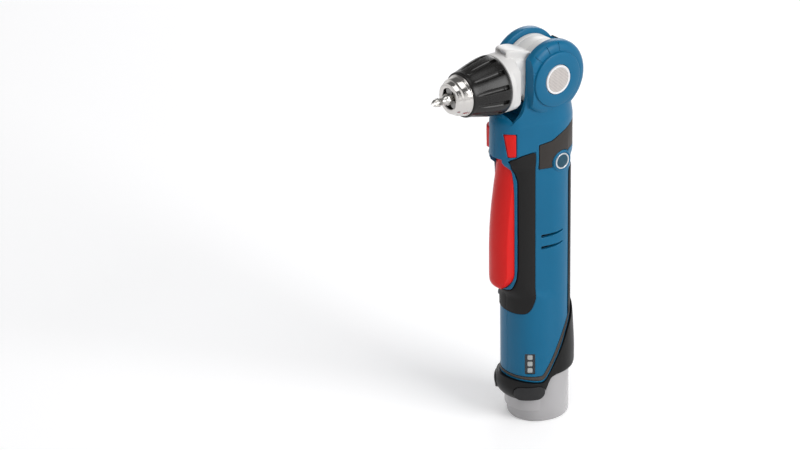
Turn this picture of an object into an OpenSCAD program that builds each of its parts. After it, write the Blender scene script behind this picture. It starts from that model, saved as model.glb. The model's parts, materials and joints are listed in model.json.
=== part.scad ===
// Cordless right angle drill with a tilting head, a keyless chuck and a slide-in battery.
// Millimetres. The origin is the middle of the battery's flat base, +Z runs up the handle,
// +X points the way the chuck points at rest and +Y is the user's left.

/* [Handle] */
// Height of the head's hinge axis above the battery's base
pivot_z = 236; // [226:1:246]
// Radius of the handle's back, and of the whole lower handle
back_r = 19.6; // [18.8:0.1:20.4]
// Radius of the lower handle's front
low_front_r = 19.3; // [18.5:0.1:20]
// Forward shift of the lower handle's front
low_front_x = 5.6; // [4:0.2:7]
// Radius of the handle's front behind the trigger
mid_front_r = 15; // [14.5:0.1:15.5]
// Forward shift of the handle's front behind the trigger
mid_front_x = 14.5; // [14:0.1:15]
// Radius of the nose under the chuck
nose_r = 14.2; // [13.8:0.1:14.6]
// Forward shift of the nose under the chuck
nose_x = 20.3; // [20:0.1:21]
// Wall of the two housing halves
wall = 2.2; // [1.9:0.1:2.4]
// Top of the shoulder in front of the hinge
shoulder_z = 215.5; // [214.5:0.25:216]
// Thickness of the soft grips
grip_t = 1.2; // [0.8:0.1:1.6]
// How far the grips stand out of the housing
grip_proud = 0.5; // [0.3:0.1:0.8]

/* [Hinge] */
// Outer radius of the two hinge ears
ear_r = 23.9; // [23.6:0.1:24]
// Inner face of each ear from the middle plane
ear_in = 10.2; // [10:0.1:10.6]
// Outer face of each ear from the middle plane
ear_out = 18.1; // [17.9:0.1:18.4]
// Forward edge of the ears
ear_front = 18; // [17:0.25:18.5]
// Radius of the hinge covers
cover_r = 18.1; // [17.6:0.1:18.4]
// Thickness of the hinge covers
cover_t = 1.6; // [1.2:0.1:2]
// Radius of the release button and of the cap on the other side
button_r = 9.3; // [9:0.1:9.6]
// Travel of the release button
button_travel = 1.6; // [1:0.1:1.8]
// Radius of the head's trunnions
trunnion_r = 8; // [7.6:0.1:8.2]

/* [Head] */
// Outer radius of the head's drum
drum_r = 20.7; // [20.4:0.1:20.8]
// Half width of the head's drum
drum_half = 9.7; // [9.4:0.05:9.8]
// Radius of the round collar behind the chuck
collar_r = 18.4; // [17.8:0.1:18.7]
// Half width over the collar's side flats
collar_half = 14.5; // [14:0.1:15]
// Start of the collar in front of the hinge axis
collar_x = 24.3; // [24.2:0.1:24.6]
// Front face of the collar
collar_front = 34.4; // [34:0.1:34.8]
// Radius of the spindle inside the head
spindle_r = 4; // [3.8:0.1:4.2]
// Radius of the spindle's threaded nose
spindle_nose_r = 5; // [4.8:0.1:5.2]

/* [Chuck] */
// Rear face of the chuck in front of the hinge axis
chuck_x = 35; // [34.9:0.1:35.4]
// Nose face of the chuck in front of the hinge axis
chuck_nose_x = 69.5; // [68.5:0.25:71]
// Radius of the chuck sleeve at its rear
sleeve_r = 18.7; // [18.2:0.1:19]
// Radius of the chuck sleeve at its front
sleeve_front_r = 14; // [13.9:0.1:14.3]
// Front end of the chuck sleeve in front of the hinge axis
sleeve_front_x = 60.5; // [59.5:0.25:61]
// Number of flutes round the sleeve
flutes = 12; // [9:1:14]
// Radius of one round jaw
jaw_r = 2.6; // [2.4:0.1:2.7]
// Tilt of a jaw to the chuck's axis
jaw_tilt = 14; // [13:0.5:15]
// Width across the flats of the bit's hexagon shank
bit_flats = 6.35; // [6:0.05:6.5]
// Tip of the bit in front of the hinge axis
bit_tip_x = 82.5; // [80:0.5:90]

/* [Controls] */
// Lower end of the trigger
trigger_bottom = 96.5; // [96:0.25:97.5]
// Height of the trigger's hinge
trigger_hinge_z = 184; // [183.8:0.1:184.4]
// The trigger's hinge in front of the handle's middle
trigger_hinge_x = 27.4; // [27:0.1:27.8]
// Front face of the trigger
trigger_front = 35.4; // [34.6:0.1:36]
// Half width of the trigger where it enters the housing
trigger_half = 9; // [8.6:0.1:9.2]
// Top of the direction switch
rocker_top = 204.3; // [203.8:0.1:204.6]
// Bottom of the direction switch
rocker_bottom = 189.3; // [189:0.1:190]
// Side travel of the direction switch from rest
rocker_travel = 2.4; // [1.6:0.2:2.6]

/* [Drive] */
// Outer radius of the motor
motor_r = 14.2; // [13.8:0.1:14.4]
// Lower end of the motor
motor_bottom = 112; // [111.5:0.25:113]
// Upper end of the motor
motor_top = 168; // [167.5:0.1:168.2]
// Outer radius of the gearbox
gearbox_r = 16; // [15.8:0.1:16.2]
// Top of the gearbox
gearbox_top = 196; // [195.9:0.1:196.1]
// Module of the planet gears
planet_module = 0.6; // [0.58:0.01:0.61]
// Thickness of the planet gears
planet_t = 6; // [5.5:0.1:6.1]
// Radius of the drive shaft
shaft_r = 3; // [2.8:0.1:3.1]
// Distance of the small bevel gears from the hinge axis
bevel_reach = 11; // [10.8:0.1:11.1]
// Pitch radius of the small bevel gears
bevel_pinion_r = 5.5; // [5.4:0.1:5.6]

/* [Battery] */
// Height of the battery's stem above its base
battery_h = 76; // [74:0.5:77]
// Height of the battery's wide foot at the back
battery_foot = 33; // [32:0.5:33.5]
// Radius of one cell
cell_r = 8; // [7.6:0.1:8.1]

/* [Clearances] */
// Gap between pieces that move past each other
gap = 0.3; // [0.25:0.05:0.35]
// Radial clearance of a shaft in its bore
fit = 0.05; // [0.03:0.01:0.08]

/* [Hidden] */
$fn = 64;
eps = 0.01;

// Handle outlines as [back radius, back centre, front radius, front centre].
LOW = [back_r, -0.8, low_front_r, low_front_x];
MID = [back_r + 0.1, -0.8, mid_front_r, mid_front_x];
TOP = [back_r + 0.7, -1.7, nose_r, nose_x];
// Heights at which one outline ends and the next begins.
low_top = 92;
// Plastic over and under the cells.
cell_end = 6;
cell_l = battery_h - 2 * cell_end;
mid_bottom = 101;
mid_top = 176;
nose_bottom = 184;
nose_top = 207;
cavity_top = nose_top;
boss_r = 3.2;
screw_r = 1.5;
screw_head_r = 2.8;
// Screws as [x, z], all driven from the right.
SCREWS = [[19.5, battery_h + 10], [-14, 104.5], [21.6, 176.5], [-15.7, 203.3], [17.6, 203.3]];
motor_bore = motor_r + fit;
ring_teeth = 42;
sun_teeth = 12;
planet_teeth = 15;
planet_orbit = planet_module * (sun_teeth + planet_teeth) / 2;
pin_r = 1.5;
gearbox_bottom = motor_top + 2;
stage_1 = gearbox_bottom + 3.5;
stage_2 = stage_1 + planet_t + 5.5;
carrier_r = planet_module * ring_teeth / 2 - 2;
cover_top = pivot_z - drum_r - 0.5;
bearing_r = 9.5;
cover_tube_r = 11.5;
motor_shaft_r = 1.6;
cap_h = 6;
can_t = 1.2;
rear_bearing_x = 14.8;
rear_bearing_l = 5.2;
rear_bearing_r = 8;
front_bearing_x = 25;
front_bearing_l = 7.5;
front_bearing_r = 11;
idler_shaft_r = 2.5;
bevel_hub_l = 3.3;
bevel_hub_r = 4.5;
spindle_tail_r = 2.5;
bearing_h = 6;
pinion_teeth = 11;
idler_teeth = 22;
bevel_face = 0.4;
drum_wall = 4;
tooth_share = 0.38;
idler_r = bevel_reach;
idler_y = bevel_pinion_r;
ear_top_angle = 143.5;
button_in = 16.2;
bush_wall = 15;
hub_r = 9.5;
body_r = sleeve_front_r - 1;
nut_r = 15.9;
jaw_front_x = chuck_nose_x - 0.5;
jaw_l = 24;
jaw_rho = bit_flats / 2 + 1.6;
boot_proud = 1;
cell_orbit = 2 * (cell_r + 2 * fit) / sqrt(3);
bush_r = 9.6;
bush_t = 0.8;
badge_y = back_r + 0.8;
badge_r = 5.3;
boss_badge_r = 6.8;
gauge_w = 6.4;
gauge_l = 14.4;
gauge_in = low_front_r - wall - 0.2;
// Heights of the two cooling slots.
VENTS = [132, 124];
trigger_back = 22.6;
board_z = trigger_bottom - 3.5;
switch_x = motor_r + 0.8;
switch_l = 6.5;
plunger_r = 2.2;
plunger_z = 132;
cap_y = ear_out + cover_t + 0.4;
// The button's spring: mean radius, wire radius, turns and ends.
spring_r = 4.6;
spring_wire = 0.25;
spring_turns = 2;
spring_sides = 6;
spring_steps = 8;
spring_y0 = bush_wall + bush_t + spring_wire;
spring_y1 = cap_y - 1.2 - button_travel - 0.1 - spring_wire;

// Points on an arc about [x, y] from angle a0 to a1 in n steps.
function arc(x, y, r, a0, a1, n) = [for (i = [0:n]) let (a = a0 + (a1 - a0) * i / n)
    [x + r * cos(a), y + r * sin(a)]];
// A handle outline grown by g: two arcs joined by their common tangents.
function egg(s, g = 0) = let (t = acos((s[0] - s[2]) / (s[3] - s[1])))
    concat(arc(s[3], 0, s[2] + g, -t, t, 14), arc(s[1], 0, s[0] + g, t, 360 - t, 18));
// Half angle of a tooth at radius r, for a tooth that thins outwards by slope.
function tooth_half(n, rp, share, slope, r) = (rp * PI * share / n - (r - rp) * slope) / r * 180 / PI;
// A toothed outline with n teeth, one of them at angle a.
function toothed(n, rp, add, ded, share, slope, a = 0) = [for (i = [0:n - 1]) for (k = [0:3])
    let (r = k == 0 || k == 3 ? rp - ded : rp + add,
         b = a + 360 * i / n + (k < 2 ? -1 : 1) * tooth_half(n, rp, share, slope, r))
    [r * cos(b), r * sin(b)]];
function spur(n, share, a = 0) = toothed(n, planet_module * n / 2, 0.9 * planet_module,
    1.25 * planet_module, share, 0.36, a);

module rod_x(x, l, r) { translate([x, 0, 0]) rotate([0, 90, 0]) cylinder(h = l, r = r); }
module rod_y(y, l, r) { translate([0, y, 0]) rotate([-90, 0, 0]) cylinder(h = l, r = r); }
// A turned shape about X or Y from [radius, place] points.
module turned_x(points) { rotate([0, 90, 0]) rotate_extrude() polygon(points); }
module turned_y(points) { rotate([-90, 0, 0]) rotate_extrude() polygon(points); }
// An outline in the XZ plane, extruded from y0 to y1.
module side(points, y0, y1) {
    translate([0, y1, 0]) rotate([90, 0, 0]) linear_extrude(height = y1 - y0) polygon(points);
}
module at_hinge() { translate([0, 0, pivot_z]) children(); }
module left_half() {
    intersection() {
        children();
        translate([-60, 0, -5]) cube([140, 60, 320]);
    }
}
module right_half() {
    intersection() {
        children();
        translate([-60, -60, -5]) cube([140, 60, 320]);
    }
}
module prism(s, g, z0, z1) { translate([0, 0, z0]) linear_extrude(height = z1 - z0) polygon(egg(s, g)); }
module blend(s0, g0, z0, s1, g1, z1) {
    hull() {
        prism(s0, g0, z0, z0 + eps);
        prism(s1, g1, z1 - eps, z1);
    }
}

// Side view outlines in the XZ plane.
GRIP = [[14.6, 191.3], [24.6, 189.8], [31.6, 187], [29.5, 182.5], [26.3, 177], [25.1, 171], [25.1, 111],
    [25.6, 104], [27.2, 97.5], [30, 93.5], [45, 92], [45, 79], [22.5, 78.3], [19.3, 79.4], [16.9, 83.3],
    [15.1, 89.4], [14.6, 95]];
PANEL = concat([[13, 178], [13, 195], [4.7, 196.6], [-0.9, 200], [-8.3, 203], [-12.3, 204.4], [-30, 207],
    [-30, 187], [-9.5, 187]], arc(-3, 181, 7, 138, -26, 8), [[5, 178]]);
BLUE_EDGE = [[40, 38.5], [23.5, 35], [13, 34.7], [10.5, 35.7], [7.7, 39.9], [3.8, 45.8], [-1.7, 56.7],
    [-6.5, 65.4], [-10.3, 70.6], [-16, 76.5], [-30, 88]];
BOOT_EDGE = [[40, 35], [23.6, 31.8], [13.6, 30.4], [10.6, 30.9], [7.4, 34.2], [2.1, 42.7], [-2.8, 51.7],
    [-7.9, 61.6], [-12.1, 67.8], [-17.5, 74.3], [-30, 84.5]];
FOOT_EDGE = [[40, 19.5], [25, 18.2], [13.6, 18], [11.4, 20], [9.2, 24.5], [7.2, 29], [5, 32.2],
    [1, battery_foot + 0.4], [-30, battery_foot + 1.6]];
NECK = [[4, -9.4], [21, -9.4], [25.4, -12], [25.4, 16], [13.9, 17.6], [11.6, 14.9], [4, 10]];
LUG = [[12.9, 16.4], [17.4, 19.8], [26.6, 21.7], [28.2, 21.2], [28.9, 19.8], [28.9, 14], [20, 14]];
ROCKER = [[27, rocker_bottom], [30.9, rocker_bottom], [32.4, rocker_top], [27, rocker_top]];
TRIGGER = [[25.8, 186.6], [30, 186.6], [31.3, 185.4], [32.2, 178], [33.5, 166], [34.7, 152],
    [trigger_front, 138], [trigger_front, trigger_bottom + 8], [trigger_front - 0.6, trigger_bottom + 5],
    [33.6, trigger_bottom + 2.2], [31, trigger_bottom + 0.4], [28, trigger_bottom],
    [trigger_back, trigger_bottom + 1.4], [trigger_back, 160], [25.8, 172]];
function reversed(p) = [for (i = [len(p) - 1:-1:0]) p[i]];
function raised(p, d) = [for (q = p) [q[0], q[1] + d]];
// The belt between two side view edges, the upper one first.
function belt(top, bottom) = concat(top, reversed(bottom));
// Half width of an outline at x, on its back arc, its front arc or the line between them.
function half_at(s, x) = let (t = acos((s[0] - s[2]) / (s[3] - s[1])), b = s[1] + s[0] * cos(t),
        f = s[3] + s[2] * cos(t), k = x > f ? 2 : 0)
    x > b && x < f ? sin(t) * (s[0] + (s[2] - s[0]) * (x - b) / (f - b))
        : sqrt(s[k] * s[k] - (x - s[k + 1]) * (x - s[k + 1]));
function outline_at(z) = z < low_top ? LOW : z < mid_top + 2 ? MID : TOP;
function screw_seat(s) = half_at(outline_at(s[1]), s[0]) - 1.4;

// The handle's two transitions, grown by g.
module handle_mid(g) {
    prism(LOW, g, 70, low_top);
    blend(LOW, g, low_top, MID, g, mid_bottom);
    prism(MID, g, mid_bottom, mid_top);
    blend(MID, g, mid_top, TOP, g, nose_bottom);
    prism(TOP, g, nose_bottom, nose_top);
}
module boot_shape() {
    hull() {
        prism([back_r + 0.3, -0.8, low_front_r + 0.3, low_front_x], 0, 90, 90 + eps);
        prism([back_r + 1.4, -1.9, low_front_r + boot_proud, low_front_x], 0, 66, 66 + eps);
        prism([back_r + 1.6, -2.8, low_front_r + boot_proud, low_front_x], 0, 44, 44 + eps);
        prism([back_r + 1.6, -2.8, low_front_r + boot_proud, low_front_x + 0.4], 0, 36, 36 + eps);
        prism([back_r + 0.4, -0.8, low_front_r + 0.9, low_front_x + 2.6], 0, 30, 30 + eps);
        prism([back_r + 0.4, -0.8, low_front_r + 0.6, low_front_x + 3.8], 0, 26, 26 + eps);
        prism([back_r + 0.4, -0.8, low_front_r + 0.3, low_front_x + 2.6], 0, 20.5, 20.5 + eps);
        prism([back_r + 0.3, -0.8, low_front_r - 0.3, low_front_x + 0.3], 0, 17.5, 17.5 + eps);
    }
}
module ear() {
    turned_y([[0, ear_in], [ear_r - 1, ear_in], [ear_r, ear_in + 1.2], [ear_r, ear_in + 4],
        [ear_r - 0.8, ear_out - 2.1], [ear_r - 2.3, ear_out - 0.7], [cover_r + 0.2, ear_out], [0, ear_out]]);
}
module both_sides() {
    children();
    mirror([0, 1, 0]) children();
}
// The wall that joins the ears behind the drum, with the lip on its upper edge.
module back_wall() {
    top = arc(0, 0, 60, ear_top_angle, ear_top_angle + 6.5, 1);
    intersection() {
        rod_y(-ear_in - eps, 2 * (ear_in + eps), ear_r);
        side([[0, 0], top[0], [-60, 0], [-60, -26], [0, -26]], -30, 30);
    }
    intersection() {
        rod_y(-ear_in - eps, 2 * (ear_in + eps), ear_r + 1);
        side([[0, 0], top[0], top[1]], -30, 30);
    }
}
module battery_pad(g) {
    translate([low_front_x, 0, 23.6]) rotate([0, 0, 48]) rotate([0, 90, 0]) linear_extrude(height = 30) {
        for (k = [-1, 1]) translate([0, k * 5.4]) circle(r = 4.6 + g);
        translate([-4.6 - g, -5.4]) square([9.2 + 2 * g, 10.8]);
    }
}
module at_gauge() { translate([low_front_x, 0, 43.6]) rotate([0, 0, 49.2]) children(); }
module housing_outside() {
    prism(LOW, 0, 22, 70 + eps);
    handle_mid(0);
    blend(TOP, 0, nose_top, TOP, -2.2, shoulder_z - 3);
    blend(TOP, -2.2, shoulder_z - 3, TOP, -6, shoulder_z);
    intersection() {
        union() {
            blend(TOP, 0, nose_top, TOP, -3.4, pivot_z - 10);
            at_hinge() both_sides() ear();
        }
        translate([-40, -40, nose_top]) cube([40 + ear_front, 80, 60]);
    }
    at_hinge() back_wall();
    both_sides() badge_disc(badge_y, boss_badge_r);
}
// The handle's outline behind the rear panel, grown by g.
module panel_core(g) { prism([back_r + 0.5, -1.5, nose_r + 0.3, nose_x - 3], g, 172, 210); }
// The strip along the handle's back, down to the band, grown by g.
module rear_band(g) {
    intersection() {
        prism(LOW, g, 60, 173);
        difference() {
            translate([-30, -30, 60]) cube([19.8, 60, 113]);
            side(belt(BLUE_EDGE, raised(BLUE_EDGE, -60)), -30, 30);
        }
    }
}
// The housing's thin end inside the tail boot.
module boot_core() {
    difference() {
        prism(LOW, -boot_proud, 22, 92);
        side(concat(raised(FOOT_EDGE, 2.5), [[-30, 0], [40, 0]]), -40, 40);
    }
}
// What is taken out of the housing's skin for the grips, panel, boot and band.
module recesses() {
    difference() {
        side(GRIP, -30, 30);
        handle_mid(grip_proud - grip_t);
    }
    difference() {
        side(PANEL, -30, 30);
        panel_core(-1);
    }
    difference() {
        rear_band(2);
        prism(LOW, grip_proud - grip_t, 50, 180);
    }
    difference() {
        side(concat(BLUE_EDGE, [[-30, 10], [40, 10]]), -40, 40);
        boot_core();
    }
}
// The trigger's front view, grown by g: it narrows towards the hinge.
module trigger_face(g) {
    t = trigger_half + g;
    low = trigger_bottom - 1.5 - g;
    half = [[t - 4.6, low], [t - 1.7, low + 3.2], [t - 0.5, low + 6], [t, low + 10], [t, 138],
        [t - 0.6, 152], [t - 1.7, 165], [t - 3.2, 180], [t - 3.6, 192]];
    rotate([90, 0, 90]) linear_extrude(height = 70)
        polygon(concat(half, reversed([for (q = half) [-q[0], q[1]]])));
}
// The opening that the trigger swings in.
module mouth() {
    low = trigger_bottom - 0.6;
    top = rocker_bottom - 2.1;
    intersection() {
        side([[14.6, low], [60, low], [60, top], [25, top], [25, 174], [18.6, 162], [14.6, 120]], -30, 30);
        trigger_face(gap);
    }
}
// The trigger's hinge pins, grown by g.
module trigger_pins(g) {
    translate([trigger_hinge_x, 0, trigger_hinge_z]) rod_y(-10 - g, 20 + 2 * g, 1.5 + g);
}
module cavities() {
    prism(LOW, -wall, 0, 97);
    prism(MID, -wall - 1, 96, mid_bottom);
    prism(MID, -wall, mid_bottom, nose_bottom);
    prism(TOP, -wall - 0.3, nose_bottom - eps, cavity_top);
    cylinder(h = 260, r = cover_tube_r + fit);
    at_hinge() {
        rod_y(-ear_in, 2 * ear_in, drum_r + 0.4);
        translate([0, -ear_in, -pivot_z + shoulder_z + 2]) cube([50, 2 * ear_in, 60]);
        both_sides() rod_y(0, bush_wall + bush_t, bush_r);
        both_sides() rod_y(bush_wall + bush_t, 10, button_r + gap);
    }
    mouth();
    trigger_pins(fit);
    side([for (p = ROCKER) [p[0] + (p[0] > 28 ? gap : -gap), p[1] + (p[1] > 195 ? gap : -gap)]], -30, 30);
    both_sides() battery_pad(gap);
    at_gauge() translate([10, -gauge_w / 2, -gauge_l / 2]) cube([20, gauge_w, gauge_l]);
    both_sides() for (z = VENTS)
        side([[11, z - 0.8], [-4.1, z - 0.4], [-4.1, z + 1.2], [11, z + 0.8]], 12, 30);
}
module ribs() {
    for (z = [122, 154]) rib(z, 14.6, motor_bore);
    for (z = [171.5, 190]) rib(z, 16.5, gearbox_r + fit);
    both_sides() translate([switch_x, 6.5, plunger_z + 8]) cube([3.4, 5.9, 8]);
}
module rib(z, x, bore) {
    difference() {
        intersection() {
            prism(z < 180 ? MID : TOP, -wall + 0.6, z, z + 2.5);
            translate([-30, -30, z]) cube([30 + x, 60, 3]);
        }
        translate([0, 0, z - 1]) cylinder(h = 5, r = bore);
    }
}
module screw_bosses() {
    intersection() {
        for (s = SCREWS) translate([s[0], 0, s[1]])
            rod_y(-screw_seat(s) + 0.2, 2 * screw_seat(s) - 0.4, boss_r);
        union() {
            prism(LOW, -1.8, 70, 97);
            prism(MID, -1.8, 96, 185);
            prism(TOP, -1.8, 184, 208);
        }
    }
}
module screw_holes() {
    for (s = SCREWS) translate([s[0], 0, s[1]]) {
        rod_y(-screw_seat(s), screw_seat(s) + 8.5, screw_r);
        rod_y(-30, 30 - screw_seat(s) + 1.8, screw_head_r + 0.2);
    }
}
module housing() {
    difference() {
        union() {
            difference() {
                housing_outside();
                recesses();
                cavities();
            }
            ribs();
            screw_bosses();
        }
        screw_holes();
        cylinder(h = 186, r = motor_r + fit);
    }
}

module housing_left() { color("steelblue") left_half() housing(); }
module housing_right() { color("steelblue") right_half() housing(); }
module grip() {
    difference() {
        handle_mid(grip_proud);
        handle_mid(grip_proud - grip_t);
        difference() {
            translate([-40, -40, 60]) cube([100, 80, 150]);
            side(GRIP, -30, 30);
        }
        mouth();
        screw_holes();
    }
}
module grip_left() { color([0.2, 0.19, 0.18]) left_half() grip(); }
module grip_right() { color([0.2, 0.19, 0.18]) right_half() grip(); }
module rear_grip() {
    color([0.2, 0.19, 0.18]) difference() {
        rear_band(grip_proud);
        prism(LOW, grip_proud - grip_t, 50, 180);
        screw_holes();
    }
}
module rear_panel() {
    color([0.33, 0.3, 0.28]) difference() {
        intersection() {
            panel_core(0.3);
            side(PANEL, -30, 30);
        }
        panel_core(-1);
        screw_holes();
        both_sides() badge_disc(30, boss_badge_r);
    }
}
// The round badge boss on one side, up to y.
module badge_disc(y, r) { translate([-3, 15, 181]) rod_y(0, y - 15, r); }
module badges() {
    color("silver") both_sides() difference() {
        badge_disc(badge_y + 0.4, badge_r);
        badge_disc(badge_y, badge_r + 1);
    }
}
module tail_boot() {
    color([0.15, 0.15, 0.15]) difference() {
        intersection() {
            boot_shape();
            side(belt(BOOT_EDGE, FOOT_EDGE), -40, 40);
        }
        prism(LOW, -wall, 0, 100);
        boot_core();
        both_sides() battery_pad(gap);
    }
}
module trim_band() {
    color([0.3, 0.25, 0.22]) difference() {
        intersection() {
            boot_shape();
            prism(LOW, 0.5, 20, 95);
            side(belt(BLUE_EDGE, BOOT_EDGE), -40, 40);
        }
        prism(LOW, -boot_proud, 20, 95);
    }
}
module battery_button() {
    intersection() {
        difference() {
            prism([back_r + 1, -0.8, low_front_r + 0.9, low_front_x + 1.6], 0.4, 15, 32);
            prism(LOW, -0.6, 0, 60);
        }
        battery_pad(0);
    }
}
module battery_button_left() { color([0.1, 0.1, 0.1]) battery_button(); }
module battery_button_right() { color([0.1, 0.1, 0.1]) mirror([0, 1, 0]) battery_button(); }
// The three lamps of the battery gauge, from x0 to x1 out of the window's middle.
module gauge_lamps(x0, x1) {
    for (k = [-1:1]) translate([x0, -1.5, 4.6 * k - 1.8]) cube([x1 - x0, 3, 3.6]);
}
module gauge_window() {
    color([0.1, 0.12, 0.15]) at_gauge() difference() {
        translate([gauge_in, -gauge_w / 2, -gauge_l / 2]) cube([1.8, gauge_w, gauge_l]);
        gauge_lamps(gauge_in + 0.4, gauge_in + 3);
    }
}
module gauge_leds() { color("white") at_gauge() gauge_lamps(gauge_in + 0.4, gauge_in + 1.6); }
module housing_screws() {
    color("dimgray") for (s = SCREWS) translate([s[0], 0, s[1]]) {
        rod_y(-screw_seat(s) + 1.8, screw_seat(s) + 6, screw_r);
        difference() {
            rod_y(-screw_seat(s), 1.8, screw_head_r);
            rod_y(-screw_seat(s) - 1, 2, 1.3);
        }
    }
}
module hinge_cover() {
    turned_y([[button_r + gap, ear_out], [cover_r, ear_out], [cover_r, ear_out + cover_t - 0.8],
        [cover_r - 0.8, ear_out + cover_t], [button_r + gap, ear_out + cover_t]]);
}
module hinge_cover_left() { color("steelblue") at_hinge() hinge_cover(); }
module hinge_cover_right() { color("steelblue") at_hinge() mirror([0, 1, 0]) hinge_cover(); }
module hinge_cap() {
    inner = bush_wall + bush_t;
    color("lightgray") at_hinge() mirror([0, 1, 0]) turned_y([[0, inner], [button_r + gap, inner],
        [button_r + gap, cap_y - 1], [button_r - 0.4, cap_y], [0, cap_y]]);
}
module pivot_bushes() {
    outer = bush_wall + bush_t;
    bore = trunnion_r + fit;
    color("tan") at_hinge() both_sides() turned_y([[bore, ear_in + 0.1], [bush_r, ear_in + 0.1],
        [bush_r, outer], [0, outer], [0, bush_wall], [bore, bush_wall]]);
}
// A hole or rod along the motor's axis from z, of height h.
module spin(z, h, r) { translate([0, 0, z]) cylinder(h = h, r = r); }
module motor_can() {
    color("slategray") difference() {
        spin(motor_bottom + cap_h, motor_top - motor_bottom - cap_h, motor_r);
        spin(motor_bottom, 16, motor_r - can_t);
        spin(motor_bottom, motor_top - motor_bottom - 1.5, motor_r - 3);
        spin(motor_top - 9, 7.5, motor_r - can_t);
        spin(0, 200, motor_shaft_r + fit);
    }
}
module motor_end_cap() {
    color("black") difference() {
        spin(motor_bottom, cap_h, motor_r);
        spin(motor_bottom + 3, 4, motor_r - 2);
        spin(0, 200, motor_shaft_r + fit);
    }
}
module armature() {
    color("peru") {
        difference() {
            spin(motor_bottom + 18, 26, motor_r - 3.6);
            for (i = [0:4]) rotate([0, 0, 72 * i]) translate([6, -0.9, motor_bottom + 17]) cube([8, 1.8, 28]);
            spin(0, 200, motor_shaft_r);
        }
        difference() {
            spin(motor_bottom + 4, 8, 4.5);
            spin(0, 200, motor_shaft_r);
        }
    }
}
module sun_gear(z, h) {
    translate([0, 0, z]) linear_extrude(height = h) polygon(spur(sun_teeth, tooth_share + 0.02));
}
module motor_shaft() {
    color("silver") {
        spin(motor_bottom + 1, stage_1 - 0.5 - motor_bottom - 1, motor_shaft_r);
        sun_gear(stage_1 - 0.5, planet_t + 0.5);
    }
}
module motor_fan() {
    color("darkgray") difference() {
        union() {
            spin(motor_top - 8, 1.2, motor_r - 2.2);
            spin(motor_top - 8, 5.5, 3.5);
            for (i = [0:8]) rotate([0, 0, 40 * i]) translate([3, -0.4, motor_top - 8])
                cube([motor_r - 5.6, 0.8, 5]);
        }
        spin(0, 200, motor_shaft_r);
    }
}
module gearbox_case() {
    color("gray") difference() {
        spin(motor_top, gearbox_top - motor_top, gearbox_r);
        spin(motor_top - 1, 10, 5);
        translate([0, 0, gearbox_bottom]) linear_extrude(height = 40)
            polygon(toothed(ring_teeth, planet_module * ring_teeth / 2, 1.25 * planet_module,
                0.9 * planet_module, 1 - tooth_share, 0.36));
    }
}
module gearbox_cover() {
    color("gray") rotate_extrude() polygon([[4, gearbox_top], [gearbox_r, gearbox_top],
        [gearbox_r, gearbox_top + 2.4], [cover_tube_r, gearbox_top + 2.4], [cover_tube_r, cover_top],
        [bearing_r, cover_top], [bearing_r, cover_top - bearing_h], [4, cover_top - bearing_h]]);
}
module shaft_bearing() {
    color("silver") difference() {
        spin(cover_top - bearing_h, bearing_h - 0.1, bearing_r);
        spin(0, 260, shaft_r + fit);
    }
}
// A planet carrier's plate with its three pins below it.
module carrier(z) {
    translate([0, 0, z + planet_t + gap]) cylinder(h = 2.5, r = carrier_r);
    for (i = [0:2]) rotate([0, 0, 120 * i]) translate([planet_orbit, 0, z + 0.2])
        cylinder(h = planet_t + 1, r = pin_r);
}
module planet(z, i) {
    rotate([0, 0, 120 * i]) translate([planet_orbit, 0, z]) difference() {
        linear_extrude(height = planet_t) polygon(spur(planet_teeth, tooth_share));
        translate([0, 0, -1]) cylinder(h = planet_t + 2, r = pin_r + fit);
    }
}
module carrier_1() {
    color("dimgray") {
        carrier(stage_1);
        sun_gear(stage_1 + planet_t + gap + 2, planet_t + 2.8);
    }
}
module planet_1a() { color("goldenrod") planet(stage_1, 0); }
module planet_1b() { color("goldenrod") planet(stage_1, 1); }
module planet_1c() { color("goldenrod") planet(stage_1, 2); }
module drive_shaft() {
    color("silver") {
        carrier(stage_2);
        spin(stage_2 + planet_t + 2, pivot_z - bevel_reach + 0.4 - stage_2 - planet_t - 2, shaft_r);
    }
}
module planet_2a() { color("goldenrod") planet(stage_2, 0); }
module planet_2b() { color("goldenrod") planet(stage_2, 1); }
module planet_2c() { color("goldenrod") planet(stage_2, 2); }
// Bevel teeth on a cone whose point is the hinge centre: the large end lies at z = -reach.
module bevel_teeth(n, rp, reach, add, ded, slope, a) {
    translate([0, 0, -reach]) linear_extrude(height = bevel_face * reach, scale = 1 - bevel_face)
        polygon(toothed(n, rp, add, ded, tooth_share, slope, a));
}
module bevel_pinion(a) {
    bevel_teeth(pinion_teeth, bevel_pinion_r, bevel_reach, 0.8, 0.9, 0.42, a);
}
module drive_bevel() {
    color("silver") at_hinge() difference() {
        union() {
            bevel_pinion(-90 + 180 / pinion_teeth);
            translate([0, 0, -bevel_reach - 6.5]) cylinder(h = 6.5, r = 4.4);
        }
        translate([0, 0, -bevel_reach - 8]) cylinder(h = 8.6, r = shaft_r + fit);
    }
}
module output_bevel() {
    color("silver") at_hinge() difference() {
        union() {
            rotate([0, -90, 0]) bevel_pinion(-90);
            rod_x(bevel_reach, bevel_hub_l, bevel_hub_r);
        }
        rod_x(bevel_reach + 0.6, 5, spindle_tail_r);
    }
}
module idler_bevel() {
    color("silver") at_hinge() {
        rotate([-90, 0, 0]) bevel_teeth(idler_teeth, idler_r, idler_y, 1.4, 1.9, 0.21, 180 / idler_teeth);
        rod_y(-7.9, 7.9 - idler_y, 9);
        rod_y(-13.5, 6, idler_shaft_r);
    }
}
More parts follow.
